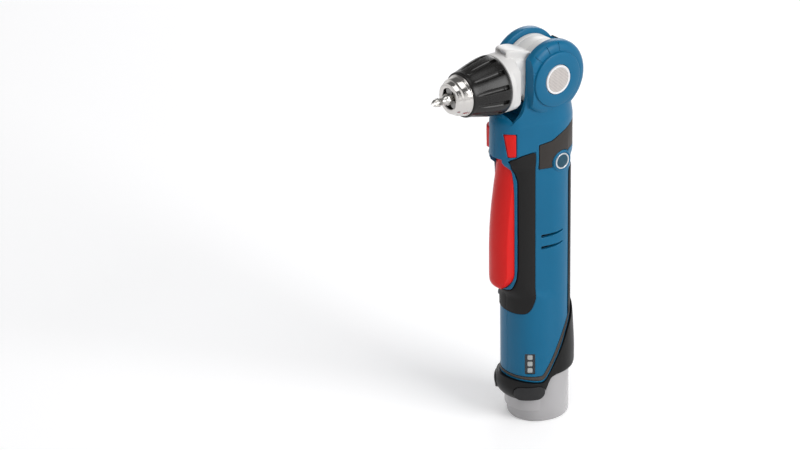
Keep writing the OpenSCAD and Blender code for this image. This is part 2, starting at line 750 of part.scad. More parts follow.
// The slot in the drum that the drive shaft passes through as the head tilts.
module drum_slot() {
    rotate([-90, 0, 0]) rotate([0, 0, 72]) rotate_extrude(angle = 126)
        translate([drum_r - drum_wall - 2, -5]) square([drum_wall + 4, 10]);
}
module lens_slot(l) { translate([26.9, -4.3, 18.7]) cube([l, 8.6, 1.9]); }
module head_housing() {
    color([0.88, 0.87, 0.86]) at_hinge() difference() {
        union() {
            rod_y(-drum_half, 2 * drum_half, drum_r);
            side(NECK, -drum_half, drum_half);
            intersection() {
                side(LUG, -drum_half, drum_half);
                linear_extrude(height = 40)
                    polygon([[12, -9.7], [20, -8.6], [29, -5.2], [29, 5.2], [20, 8.6], [12, 9.7]]);
            }
            intersection() {
                turned_x([[0, collar_x], [collar_r - 0.8, collar_x], [collar_r, collar_x + 0.8],
                    [collar_r, 32], [0, 32]]);
                translate([20, -collar_half, -30]) cube([20, 2 * collar_half, 60]);
            }
            turned_x([[0, 31], [collar_r, 31], [collar_r, collar_front - 1],
                [collar_r - 0.8, collar_front], [0, collar_front]]);
            both_sides() rod_y(drum_half - 1, bush_wall - gap - drum_half + 1, trunnion_r);
        }
        rod_y(-8.2, 16.4, drum_r - drum_wall);
        rod_x(rear_bearing_x, rear_bearing_l, rear_bearing_r);
        rod_x(12, 20, spindle_nose_r + 0.6);
        rod_x(front_bearing_x, 12, front_bearing_r);
        rod_y(-20, 20, idler_shaft_r + fit);
        rod_y(8, 20, 5);
        drum_slot();
        lens_slot(4);
    }
}
module led_lens() { color("white") at_hinge() lens_slot(1.9); }
// A ball bearing on the spindle, drawn as one ring.
module spindle_bearing(x, l, r, bore) {
    at_hinge() difference() {
        rod_x(x, l, r);
        rod_x(0, 60, bore + fit);
    }
}
module rear_bearing() {
    color("silver") spindle_bearing(rear_bearing_x, rear_bearing_l, rear_bearing_r, spindle_r);
}
module front_bearing() {
    color("silver") spindle_bearing(front_bearing_x, front_bearing_l, front_bearing_r, spindle_nose_r);
}
module spindle() {
    color("silver") at_hinge() {
        rod_x(bevel_reach + 0.6, rear_bearing_x - bevel_reach, spindle_tail_r);
        rod_x(rear_bearing_x - 0.2, 10, spindle_r);
        rod_x(24, 22.5, spindle_nose_r);
    }
}
module jaw_bore(i, r, start, l) {
    at_hinge() rotate([120 * i, 0, 0]) translate([jaw_front_x, 0, jaw_rho]) rotate([0, jaw_tilt - 90, 0])
        translate([0, 0, start]) cylinder(h = l, r = r);
}
module chuck_body() {
    color("silver") difference() {
        at_hinge() difference() {
            turned_x([[0, chuck_x + 0.2], [hub_r, chuck_x + 0.2], [hub_r, 48], [body_r, 50],
                [body_r, sleeve_front_x + 0.2], [body_r - 0.4, sleeve_front_x + 0.7],
                [body_r - 1.4, chuck_nose_x - 4], [body_r - 2.8, chuck_nose_x - 3],
                [body_r - 3.1, chuck_nose_x - 1], [body_r - 4.2, chuck_nose_x], [0, chuck_nose_x]]);
            rod_x(30, 17, spindle_nose_r);
            rod_x(40, 40, 3.9);
        }
        for (i = [0:2]) jaw_bore(i, jaw_r + fit, -5, 42);
    }
}
module chuck_sleeve() {
    color([0.12, 0.12, 0.12]) at_hinge() difference() {
        turned_x([[hub_r + 1.5, chuck_x], [sleeve_r - 0.8, chuck_x], [sleeve_r, chuck_x + 0.9],
            [sleeve_r, 37.4], [sleeve_r - 0.4, 41], [sleeve_r - 1.5, 46.5], [sleeve_r - 2.8, 52],
            [sleeve_front_r + 0.6, 57], [sleeve_front_r, sleeve_front_x], [body_r + gap, sleeve_front_x],
            [body_r + gap, 52.5], [nut_r, 44.2], [nut_r, chuck_x + 1.6], [hub_r + 1.5, chuck_x + 1.6]]);
        for (i = [0:flutes - 1]) rotate([360 * (i + 0.5) / flutes, 0, 0]) translate([37, 0, sleeve_r + 1.4])
            rotate([0, 96.5, 0]) cylinder(h = 30, r = 1.7);
    }
}
module chuck_nut() {
    color("dimgray") at_hinge() difference() {
        rod_x(40.7, 3.4, nut_r);
        rod_x(40, 10, nut_r - 1.4);
    }
}
module jaw(i) {
    intersection() {
        jaw_bore(i, jaw_r, -3, jaw_l + 3);
        at_hinge() rotate([120 * i, 0, 0]) translate([20, -10, bit_flats / 2 + fit])
            cube([jaw_front_x - 20, 20, 20]);
    }
}
module jaw_1() { color("gray") jaw(0); }
module jaw_2() { color("gray") jaw(1); }
module jaw_3() { color("gray") jaw(2); }
module bit() {
    shank_x = 47.2;
    tip = bit_tip_x;
    color("silver") at_hinge() difference() {
        union() {
            translate([shank_x, 0, 0]) rotate([30, 0, 0]) rotate([0, 90, 0])
                cylinder(h = tip - 11 - shank_x, r = bit_flats / 2 / cos(30), $fn = 6);
            turned_x([[0, tip - 12], [3.1, tip - 12], [3.1, tip - 9.5], [2.3, tip - 8], [2.3, tip - 6],
                [2.9, tip - 4.6], [2.8, tip - 3.4], [0.8, tip - 0.3], [0, tip]]);
        }
        for (i = [0:3]) rotate([90 * i, 0, 0]) translate([tip - 5, 1.9, 1.9]) rotate([0, 90, 0])
            cylinder(h = 8, r = 1.45);
    }
}
module release_button() {
    inner = button_in + 1.3;
    color("lightgray") at_hinge() turned_y([[0, cap_y - 1.2], [7, cap_y - 1.2], [7, inner], [button_r, inner],
        [button_r, cap_y - 0.6], [button_r - 0.6, cap_y], [0, cap_y]]);
}
// The button's coil spring: rings of points along a helix about Y.
module button_spring() {
    n = spring_turns * spring_steps;
    rise = (spring_y1 - spring_y0) / n;
    points = [for (i = [0:n]) for (j = [0:spring_sides - 1])
        let (a = 360 * i / spring_steps, y = spring_y0 + rise * i,
             b = 360 * j / spring_sides, r = spring_r + spring_wire * cos(b))
            [r * cos(a), y + spring_wire * sin(b), r * sin(a)]];
    walls = [for (i = [0:n - 1]) for (j = [0:spring_sides - 1]) for (t = [0:1])
        let (k = (j + 1) % spring_sides, p = i * spring_sides, q = p + spring_sides)
        t == 0 ? [p + j, p + k, q + k] : [p + j, q + k, q + j]];
    faces = concat([[for (j = [spring_sides - 1:-1:0]) j]],
        [[for (j = [0:spring_sides - 1]) n * spring_sides + j]], walls);
    echo(spring_gap = rise * spring_steps - 2 * spring_wire);
    color("gray") at_hinge() polyhedron(points, faces);
}
module trigger() {
    t = trigger_half;
    f = trigger_front;
    color([0.85, 0.12, 0.1]) difference() {
        union() {
            intersection() {
                side(TRIGGER, -t, t);
                trigger_face(0);
                linear_extrude(height = 200) polygon([[20, -t], [29, -t], [32, 1.1 - t], [f - 0.9, -6.6],
                    [f, -5.2], [f, 5.2], [f - 0.9, 6.6], [32, t - 1.1], [29, t], [20, t]]);
            }
            trigger_pins(0);
        }
        translate([20, -7.2, 100]) cube([7, 14.4, 52]);
        for (z = [[101.5, plunger_z - 5], [plunger_z + 5, 151]])
            translate([20, -7.2, z[0]]) cube([11.6, 14.4, z[1] - z[0]]);
    }
}
module switch_module() {
    color([0.2, 0.2, 0.22]) difference() {
        translate([switch_x, -6.5, plunger_z - 7]) cube([switch_l, 13, 24]);
        translate([0, 0, plunger_z]) rod_x(switch_x + 0.8, 10, plunger_r + fit);
    }
}
module switch_plunger() {
    back = switch_x + switch_l - 1.3;
    color("white") translate([0, 0, plunger_z]) rod_x(back, 27 - gap - back, plunger_r);
}
module direction_switch() {
    color([0.85, 0.12, 0.1]) translate([0, -rocker_travel / 2, 0]) intersection() {
        side(ROCKER, -20, 20);
        prism(TOP, 0.8, rocker_bottom - 1, rocker_top + 1);
    }
}
module control_board() {
    color("darkgreen") {
        prism(LOW, -wall - fit, board_z, board_z + 1.6);
        translate([-5, 0, board_z + 1.5]) cylinder(h = 9, r = 5);
        translate([3, -6, board_z + 1.5]) cube([10, 12, 5]);
    }
}
module battery_terminals() {
    color("black") {
        prism(LOW, -wall - fit, battery_h + 2.2, battery_h + 6.4);
        for (y = [-6, 0, 6]) translate([-4, y - 0.4, battery_h - 5]) cube([8, 0.8, 9]);
    }
}
module battery_case() {
    foot = [back_r - 0.3, -0.8, back_r - 1.1, 1.5];
    color([0.68, 0.67, 0.68]) difference() {
        union() {
            prism(LOW, -wall - gap, 8, battery_h);
            intersection() {
                union() {
                    prism(foot, 0, 2.6 - eps, battery_foot + 3);
                    hull() {
                        prism(foot, -1.6, 0, eps);
                        prism(foot, -0.5, 0.9, 0.9 + eps);
                        prism(foot, 0, 2.6, 2.6 + eps);
                    }
                }
                side(concat(raised(FOOT_EDGE, -gap), [[-30, -5], [40, -5]]), -40, 40);
            }
        }
        cell_places() spin(cell_end, cell_l, cell_r + fit);
        for (y = [-6, 0, 6]) translate([-4.6, y - 0.9, battery_h - cell_end]) cube([9.2, 1.8, 9]);
    }
}
module cell_places() {
    for (i = [0:2]) translate([1.8 + cell_orbit * cos(120 * i), cell_orbit * sin(120 * i), 0]) children();
}
module battery_cells() { color("royalblue") cell_places() spin(cell_end, cell_l, cell_r); }

housing_left();
housing_right();
grip_left();
grip_right();
rear_grip();
rear_panel();
badges();
tail_boot();
trim_band();
gauge_window();
gauge_leds();
housing_screws();
hinge_cover_left();
hinge_cover_right();
hinge_cap();
pivot_bushes();
motor_can();
motor_end_cap();
gearbox_case();
gearbox_cover();
shaft_bearing();
switch_module();
control_board();
battery_terminals();
armature();
motor_shaft();
motor_fan();
carrier_1();
planet_1a();
planet_1b();
planet_1c();
drive_shaft();
planet_2a();
planet_2b();
planet_2c();
drive_bevel();
head_housing();
led_lens();
rear_bearing();
front_bearing();
idler_bevel();
output_bevel();
spindle();
chuck_body();
chuck_sleeve();
chuck_nut();
jaw_1();
jaw_2();
jaw_3();
bit();
release_button();
button_spring();
trigger();
switch_plunger();
direction_switch();
battery_case();
battery_cells();
battery_button_left();
battery_button_right();
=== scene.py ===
"""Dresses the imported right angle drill: moulded shell, rubber grips, gear head, chuck and battery.

Every size below is in millimetres and becomes metres when a mesh is made. +Z runs up the handle,
+X is the way the chuck points at rest and +Y is the side of the release button.
"""
import json
import logging
import math
from dataclasses import dataclass, replace
from enum import Enum
from typing import Callable, Optional, Sequence, Union

import bpy
from mathutils import Matrix, Vector


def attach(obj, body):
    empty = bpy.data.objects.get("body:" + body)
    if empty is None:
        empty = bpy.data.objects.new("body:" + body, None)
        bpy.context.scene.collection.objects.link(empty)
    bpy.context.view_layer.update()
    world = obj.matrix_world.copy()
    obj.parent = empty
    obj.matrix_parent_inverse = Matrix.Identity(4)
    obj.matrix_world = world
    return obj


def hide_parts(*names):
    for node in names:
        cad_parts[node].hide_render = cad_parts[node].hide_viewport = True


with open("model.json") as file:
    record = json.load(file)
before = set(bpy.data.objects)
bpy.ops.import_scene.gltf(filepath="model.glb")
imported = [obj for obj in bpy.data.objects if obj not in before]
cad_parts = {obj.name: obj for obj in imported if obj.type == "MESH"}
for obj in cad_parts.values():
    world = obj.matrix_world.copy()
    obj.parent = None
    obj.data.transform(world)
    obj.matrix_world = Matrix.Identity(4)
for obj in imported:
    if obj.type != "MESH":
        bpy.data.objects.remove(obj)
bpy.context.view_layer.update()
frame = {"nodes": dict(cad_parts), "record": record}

MM = 0.001
PIVOT = 236.0  # the hinge above the battery's base
SIDES = (("left", 1), ("right", -1))
Point = tuple[float, float]
Spot = tuple[float, float, float]
Colour = tuple[float, float, float]
Line = tuple[Point, ...]
Solid = bpy.types.Object
log = logging.getLogger("drill")


class View(Enum):
    """The plane an outline is drawn in, and so the way it is extruded."""

    SIDE = "xz"
    PLAN = "xy"
    FRONT = "yz"


class Axis(Enum):
    """The line a profile is turned about."""

    X = (1.0, 0.0, 0.0)
    Y = (0.0, 1.0, 0.0)
    Z = (0.0, 0.0, 1.0)


# ---------------------------------------------------------------- outlines


def arc(x: float, y: float, radius: float, start: float, end: float, steps: int) -> list[Point]:
    """Points on an arc.

    Args:
        x, y: the centre.
        radius: the radius.
        start, end: the angles in degrees.
        steps: how many chords the arc has.

    Returns:
        The steps + 1 points.
    """
    turns = [math.radians(start + (end - start) * i / steps) for i in range(steps + 1)]
    return [(x + radius * math.cos(a), y + radius * math.sin(a)) for a in turns]


def curved(points: Sequence[Point], steps: int = 5) -> list[Point]:
    """A smooth open line through the given points.

    Args:
        points: the points that it passes.
        steps: chords between two of them.

    Returns:
        The finer line.
    """
    ends = [points[0], *points, points[-1]]
    line = []
    for a, b, c, d in zip(ends, ends[1:], ends[2:], ends[3:]):
        for i in range(steps):
            t = i / steps
            line.append(tuple(0.5 * (2 * q + (r - p) * t + (2 * p - 5 * q + 4 * r - s) * t * t
                                     + (3 * q - p - 3 * r + s) * t ** 3) for p, q, r, s in zip(a, b, c, d)))
    return line + [points[-1]]


def rounded(points: Sequence[Point], radius: float, steps: int = 4) -> list[Point]:
    """A closed outline with its corners rounded.

    Args:
        points: the corners.
        radius: how far from a corner the rounding starts.
        steps: chords in each corner.

    Returns:
        The rounded outline.
    """
    done = []
    for i, corner in enumerate(points):
        p, c, n = (Vector(points[i - 1]), Vector(corner), Vector(points[(i + 1) % len(points)]))
        a = c + (p - c).normalized() * min(radius, (p - c).length * 0.45)
        b = c + (n - c).normalized() * min(radius, (n - c).length * 0.45)
        for k in range(steps + 1):
            t = k / steps
            q = a * (1 - t) ** 2 + c * 2 * t * (1 - t) + b * t * t
            done.append((q.x, q.y))
    return done


def grown(points: Sequence[Point], by: float) -> list[Point]:
    """A closed outline with every side moved outwards.

    Args:
        points: the outline, in either direction.
        by: how far the sides move; below zero they move in.

    Returns:
        The new outline.
    """
    area = sum(a[0] * b[1] - b[0] * a[1] for a, b in zip(points, [*points[1:], points[0]]))
    sign = 1 if area > 0 else -1
    done = []
    for i, corner in enumerate(points):
        p, c, n = (Vector(points[i - 1]), Vector(corner), Vector(points[(i + 1) % len(points)]))
        u, v = (c - p).normalized(), (n - c).normalized()
        left, right = Vector((u.y, -u.x)) * sign, Vector((v.y, -v.x)) * sign
        push = (left + right) / max(0.35, 1 + left.dot(right))
        done.append((c.x + push.x * by, c.y + push.y * by))
    return done


def mirrored(points: Sequence[Point]) -> list[Point]:
    """An outline's other half, in reverse order, mirrored about its first axis."""
    return [(-p[0], p[1]) for p in reversed(points)]


def lifted(points: Sequence[Point], by: float) -> list[Point]:
    """A line moved up by a distance."""
    return [(x, z + by) for x, z in points]


def belt(top: Sequence[Point], bottom: Sequence[Point]) -> list[Point]:
    """The closed outline between two lines that run the same way."""
    return [*top, *reversed(bottom)]


def oblong(left: float, low: float, right: float, high: float) -> list[Point]:
    """A rectangle's corners."""
    return [(left, low), (right, low), (right, high), (left, high)]


def rod(radius: float, start: float, end: float) -> list[Point]:
    """The profile of a plain round bar between two places along its axis."""
    return oblong(0, start, radius, end)


def oval(reach: float, radius: float, steps: int) -> list[Point]:
    """A lying oval: two half circles whose centres stand at plus and minus reach."""
    return arc(reach, 0, radius, -90, 90, steps) + arc(-reach, 0, radius, 90, 270, steps)


def sided(profile: Sequence[Point], side: int) -> list[Point]:
    """A profile for one side of the middle plane: 1 is the left and -1 the right."""
    return [(r, side * y) for r, y in profile]


def reading(line: Sequence[Point], at: float) -> float:
    """The value of a line at a place.

    Args:
        line: the (place, value) points.
        at: the place.

    Returns:
        The value, straight between the points.
    """
    for (a, p), (b, q) in zip(line, line[1:]):
        if at <= b:
            return p + (q - p) * (at - a) / (b - a)
    return line[-1][1]


# ---------------------------------------------------------------- handle sections


@dataclass(frozen=True)
class Egg:
    """A handle section: a back arc and a front arc joined by their tangents."""

    back_r: float
    back_x: float
    front_r: float
    front_x: float

    def grow(self, by: float) -> "Egg":
        """The section with its skin moved outwards."""
        return replace(self, back_r=self.back_r + by, front_r=self.front_r + by)

    def ring(self, z: float) -> list[Spot]:
        """The section's closed outline at a height.

        Args:
            z: the height.

        Returns:
            The points of 30 chords on the front arc and 40 on the back arc.
        """
        t = math.degrees(math.acos((self.back_r - self.front_r) / (self.front_x - self.back_x)))
        line = arc(self.front_x, 0, self.front_r, -t, t, 30) + arc(self.back_x, 0, self.back_r, t, 360 - t, 40)
        return [(x, y, z) for x, y in line]


LOW = Egg(19.6, -0.8, 19.3, 5.6)
MID = Egg(19.7, -0.8, 15.0, 14.5)
TOP = Egg(20.3, -1.7, 14.2, 20.3)
Station = tuple[float, Egg]
HANDLE: list[Station] = [(10, LOW), (60, LOW), (88.5, LOW), (98, MID), (120, MID), (160, MID), (178, MID),
                         (185, TOP), (196, TOP), (207, TOP)]
BOOT: list[Station] = [(z, Egg(*sizes)) for z, *sizes in (
    (17, 19.9, -0.8, 19.0, 5.9), (21, 20.0, -0.8, 19.6, 8.2), (26, 20.0, -0.8, 19.9, 9.2), (30, 20.2, -1.2, 20.2, 8.0),
    (36, 21.2, -2.8, 20.3, 6.0), (44, 21.2, -2.8, 20.3, 5.6), (66, 21.0, -1.9, 20.3, 5.6), (90, 19.9, -0.8, 19.6, 5.6))]
BOOT.append((95, LOW.grow(0.2)))


def between(stations: Sequence[Station], z: float) -> Egg:
    """The section at a height, on monotone curves through the stations.

    Args:
        stations: heights with their sections, from low to high.
        z: the height.

    Returns:
        The section.
    """
    heights = [s[0] for s in stations]
    k = max(0, min(len(heights) - 2, sum(h <= z for h in heights) - 1))
    values = []
    for name in ("back_r", "back_x", "front_r", "front_x"):
        v = [getattr(s[1], name) for s in stations]
        slope = [(b - a) / (q - p) for a, b, p, q in zip(v, v[1:], heights, heights[1:])]
        grade = [0.0] * len(v)
        for i in range(1, len(v) - 1):
            a, b = slope[i - 1], slope[i]
            grade[i] = 2 * a * b / (a + b) if a * b > 0 else 0.0
        h = heights[k + 1] - heights[k]
        t = min(1.0, max(0.0, (z - heights[k]) / h))
        values.append(v[k] * (1 + 2 * t) * (1 - t) ** 2 + v[k + 1] * t * t * (3 - 2 * t)
                      + h * t * (1 - t) * (grade[k] * (1 - t) - grade[k + 1] * t))
    return Egg(*values)


# Side view outlines in the XZ plane.
GRIP: list[Point] = [(14.6, 191.3), (24.6, 189.8), (31.6, 187), (29.5, 182.5), (26.3, 177), (25.1, 171),
                     (25.1, 111), (25.6, 104), (27.2, 97.5), (30, 93.5), (45, 92), (45, 79), (22.5, 78.3),
                     (19.3, 79.4), (16.9, 83.3), (15.1, 89.4), (14.6, 95)]
PANEL: list[Point] = ([(13, 178), (13, 195)] + curved([(4.7, 196.6), (-0.9, 200), (-8.3, 203), (-12.3, 204.4)])
                      + [(-30, 207), (-30, 187), (-9.5, 187)] + arc(-3, 181, 7, 138, -26, 24) + [(5, 178)])
BLUE_EDGE: list[Point] = [(40, 38.5)] + curved([(23.5, 35), (13, 34.7), (10.5, 35.7), (7.7, 39.9), (3.8, 45.8),
                                                (-1.7, 56.7), (-6.5, 65.4), (-10.3, 70.6), (-16, 76.5)]) + [(-30, 88)]
BOOT_EDGE: list[Point] = [(40, 35)] + curved([(23.6, 31.8), (13.6, 30.4), (10.6, 30.9), (7.4, 34.2), (2.1, 42.7),
                                              (-2.8, 51.7), (-7.9, 61.6), (-12.1, 67.8), (-17.5, 74.3)]) + [(-30, 84.5)]
FOOT_EDGE: list[Point] = [(40, 19.5)] + curved([(25, 18.2), (13.6, 18), (11.4, 20), (9.2, 24.5), (7.2, 29),
                                                (5, 32.2), (1, 33.4)]) + [(-30, 34.6)]


# ---------------------------------------------------------------- the bench


class Bench:
    """The modelling moves that every piece is made with."""

    @staticmethod
    def clear() -> None:
        """Deselects all objects."""
        for other in bpy.context.selected_objects:
            other.select_set(False)

    @classmethod
    def only(cls, obj: Solid) -> None:
        """Selects one object and makes it active.

        Args:
            obj: the object.
        """
        cls.clear()
        obj.select_set(True)
        bpy.context.view_layer.objects.active = obj

    @classmethod
    def edit(cls, obj: Solid, *moves: Callable[[], object]) -> Solid:
        """Runs edit mode moves on the whole mesh.

        Args:
            obj: the mesh object.
            moves: the calls to make, in order.

        Returns:
            The same object.
        """
        cls.only(obj)
        bpy.ops.object.mode_set(mode="EDIT")
        bpy.ops.mesh.select_all(action="SELECT")
        for move in moves:
            move()
        bpy.ops.object.mode_set(mode="OBJECT")
        return obj

    @classmethod
    def closed(cls, obj: Solid, *moves: Callable[[], object]) -> Solid:
        """Runs edit mode moves and turns every face outwards."""
        return cls.edit(obj, *moves, lambda: bpy.ops.mesh.select_all(action="SELECT"),
                        lambda: bpy.ops.mesh.normals_make_consistent(inside=False))

    @classmethod
    def named(cls, name: str) -> Solid:
        """Names the object that was just added.

        Args:
            name: its name, and its mesh's.

        Returns:
            The object.
        """
        obj = bpy.context.active_object
        obj.name = name
        obj.data.name = name
        return obj

    @staticmethod
    def place(obj: Solid, spots: Sequence[Spot]) -> None:
        """Puts an object's vertices at given places.

        Args:
            obj: the object.
            spots: a place for each vertex, in millimetres.
        """
        flat = [c * MM for spot in spots for c in spot]
        obj.data.vertices.foreach_set("co", flat)
        obj.data.update()

    @classmethod
    def outline(cls, name: str, points: Sequence[Point], view: View, low: float, high: float) -> Solid:
        """A solid with the given outline.

        Args:
            name: the object's name.
            points: the outline.
            view: the plane that it is drawn in.
            low, high: where the solid starts and ends across that plane.

        Returns:
            The closed solid.
        """
        cls.clear()
        bpy.ops.mesh.primitive_circle_add(vertices=len(points), radius=0.01, fill_type="NGON")
        obj = cls.named(name)
        at = {View.SIDE: lambda p: (p[0], low, p[1]), View.PLAN: lambda p: (p[0], p[1], low),
              View.FRONT: lambda p: (low, p[0], p[1])}[view]
        cls.place(obj, [at(p) for p in points])
        run = (high - low) * MM
        way = {View.SIDE: (0, run, 0), View.PLAN: (0, 0, run), View.FRONT: (run, 0, 0)}[view]
        return cls.closed(obj, lambda: bpy.ops.mesh.extrude_region_move(TRANSFORM_OT_translate={"value": way}))

    @classmethod
    def across(cls, name: str, points: Sequence[Point], reach: float = 40) -> Solid:
        """A solid with the given side outline that runs through the whole drill."""
        return cls.outline(name, points, View.SIDE, -reach, reach)

    @classmethod
    def turned(cls, name: str, profile: Sequence[Point], axis: Axis, steps: int = 96,
               centre: Spot = (0, 0, PIVOT)) -> Solid:
        """A closed profile turned about an axis.

        Args:
            name: the object's name.
            profile: (radius, place along the axis) points of a closed outline.
            axis: the axis.
            steps: facets round it.
            centre: a point on the axis.

        Returns:
            The turned solid.
        """
        cls.clear()
        bpy.ops.mesh.primitive_circle_add(vertices=len(profile), radius=0.01, fill_type="NOTHING")
        obj = cls.named(name)
        x, y, z = centre
        at = {Axis.X: lambda r, a: (x + a, y, z + r), Axis.Y: lambda r, a: (x, y + a, z + r),
              Axis.Z: lambda r, a: (x + r, y, z + a)}[axis]
        cls.place(obj, [at(r, a) for r, a in profile])
        return cls.closed(obj, lambda: bpy.ops.mesh.spin(steps=steps, angle=2 * math.pi, axis=axis.value,
                                                         center=[c * MM for c in centre]),
                          lambda: bpy.ops.mesh.select_all(action="SELECT"),
                          lambda: bpy.ops.mesh.remove_doubles(threshold=2e-6),
                          lambda: bpy.ops.mesh.delete_loose(use_verts=True, use_edges=True, use_faces=False))

    @classmethod
    def loft(cls, name: str, rings: Sequence[Sequence[Spot]]) -> Solid:
        """A closed solid through rings of equally many points, wrapped from a grid.

        Args:
            name: the object's name.
            rings: the rings, from one end to the other.

        Returns:
            The closed solid.
        """
        across, along = len(rings[0]), len(rings)
        cls.clear()
        bpy.ops.mesh.primitive_grid_add(x_subdivisions=across, y_subdivisions=along - 1, size=1)
        obj = cls.named(name)
        cls.place(obj, [ring[i % across] for ring in rings for i in range(across + 1)])
        return cls.closed(obj, lambda: bpy.ops.mesh.remove_doubles(threshold=1e-6),
                          lambda: bpy.ops.mesh.fill_holes(sides=0))

    @classmethod
    def handle(cls, name: str, stations: Sequence[Station], low: float, high: float, by: float = 0,
               step: float = 2) -> Solid:
        """A length of the handle.

        Args:
            name: the object's name.
            stations: the sections that it follows.
            low, high: its ends.
            by: how far the skin is grown.
            step: the distance between rings.

        Returns:
            The closed solid.
        """
        count = max(1, round((high - low) / step))
        heights = [low + (high - low) * i / count for i in range(count + 1)]
        return cls.loft(name, [between(stations, z).grow(by).ring(z) for z in heights])

    @classmethod
    def apply(cls, obj: Solid, kind: str, **settings: object) -> Solid:
        """Adds a modifier and applies it.

        Args:
            obj: the object.
            kind: the modifier's type.
            settings: its settings.

        Returns:
            The same object.
        """
        cls.only(obj)
        modifier = obj.modifiers.new(kind.title(), kind)
        for key, value in settings.items():
            setattr(modifier, key, value)
        bpy.ops.object.modifier_apply(modifier=modifier.name)
        return obj

    @classmethod
    def combine(cls, obj: Solid, how: str, *tools: Solid) -> Solid:
        """Joins solids to, cuts them from, or keeps what they share with an object, and uses them up.

        Args:
            obj: the object that is changed.
            how: UNION, DIFFERENCE or INTERSECT.
            tools: the other solids.

        Returns:
            The changed object.
        """
        for tool in tools:
            cls.apply(obj, "BOOLEAN", object=tool, operation=how, solver="MANIFOLD")
            if not obj.data.vertices:
                log.warning("%s is empty after %s with %s", obj.name, how, tool.name)
            bpy.data.objects.remove(tool)
        return obj

    @classmethod
    def cut(cls, obj: Solid, *tools: Solid) -> Solid:
        """Cuts solids out of an object."""
        return cls.combine(obj, "DIFFERENCE", *tools)

    @classmethod
    def join(cls, obj: Solid, *tools: Solid) -> Solid:
        """Joins solids to an object."""
        return cls.combine(obj, "UNION", *tools)

    @classmethod
    def keep(cls, obj: Solid, *tools: Solid) -> Solid:
        """Keeps what an object shares with other solids."""
        return cls.combine(obj, "INTERSECT", *tools)

    @classmethod
    def copy(cls, obj: Solid, name: str, move: Matrix) -> Solid:
        """A copy with a mesh of its own, moved or mirrored.

        Args:
            obj: the model to copy.
            name: the copy's name.
            move: where the copy goes, in metres.

        Returns:
            The copy.
        """
        cls.only(obj)
        bpy.ops.object.duplicate(linked=False)
        twin = cls.named(name)
        twin.data.transform(move)
        if move.determinant() < 0:
            cls.edit(twin, lambda: bpy.ops.mesh.flip_normals())
        return twin

    @classmethod
    def ease(cls, obj: Solid, width: float, segments: int = 2, angle: float = 32) -> Solid:
        """Rounds an object's sharp edges.

        Args:
            obj: the object.
            width: how wide the rounding is.
            segments: its facets.
            angle: the least angle of an edge that is rounded.

        Returns:
            The same object.
        """
        cls.edit(obj, lambda: bpy.ops.mesh.remove_doubles(threshold=8e-6),
                 lambda: bpy.ops.mesh.dissolve_limited(angle_limit=math.radians(0.3)))
        return cls.apply(obj, "BEVEL", width=width * MM, segments=segments, limit_method="ANGLE",
                         angle_limit=math.radians(angle), use_clamp_overlap=True, miter_outer="MITER_ARC")

    @classmethod
    def smooth(cls, obj: Solid, angle: float = 32) -> Solid:
        """Shades an object smooth, apart from its sharp edges.

        Args:
            obj: the object.
            angle: the least angle of a sharp edge, in degrees.

        Returns:
            The same object.
        """
        cls.only(obj)
        bpy.ops.object.shade_smooth_by_angle(angle=math.radians(angle))
        return obj

    @classmethod
    def piece(cls, obj: Solid, finish: "Finish", body: str, *nodes: str) -> Solid:
        """Finishes a piece: shading, material, body and the CAD nodes that it stands for.

        Args:
            obj: the piece.
            finish: its finish.
            body: the body that it rides.
            nodes: the CAD nodes that it replaces.

        Returns:
            The same object.
        """
        cls.smooth(obj)
        obj.data.materials.clear()
        obj.data.materials.append(finish.material())
        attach(obj, body)
        if nodes:
            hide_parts(*nodes)
        log.info("%s: %d faces, rides %s", obj.name, len(obj.data.polygons), body)
        return obj


# ---------------------------------------------------------------- finishes


class Wire:
    """A shader value; Python's operators add Math nodes to it."""

    def __init__(self, tree: bpy.types.NodeTree, socket: bpy.types.NodeSocket) -> None:
        """Wraps a socket of a node tree."""
        self.tree = tree
        self.socket = socket

    def math(self, operation: str, *others: "Term") -> "Wire":
        """This value and others through a Math node."""
        return Graph(self.tree).node("ShaderNodeMath", self, *others, settings={"operation": operation})

    def __add__(self, other: "Term") -> "Wire":
        """Adds a value."""
        return self.math("ADD", other)

    def __mul__(self, other: "Term") -> "Wire":
        """Multiplies by a value."""
        return self.math("MULTIPLY", other)

    def __sub__(self, other: "Term") -> "Wire":
        """Takes a value away."""
        return self.math("SUBTRACT", other)

    def __rsub__(self, other: float) -> "Wire":
        """A number minus this value."""
        return Graph(self.tree).node("ShaderNodeMath", other, self, settings={"operation": "SUBTRACT"})

    __radd__ = __add__

    def step(self, low: float, high: float) -> "Wire":
        """Rises from 0 at low to 1 at high."""
        return Graph(self.tree).node("ShaderNodeMapRange", self, low, high,
                                     settings={"interpolation_type": "SMOOTHSTEP"})


Term = Union[Wire, float]


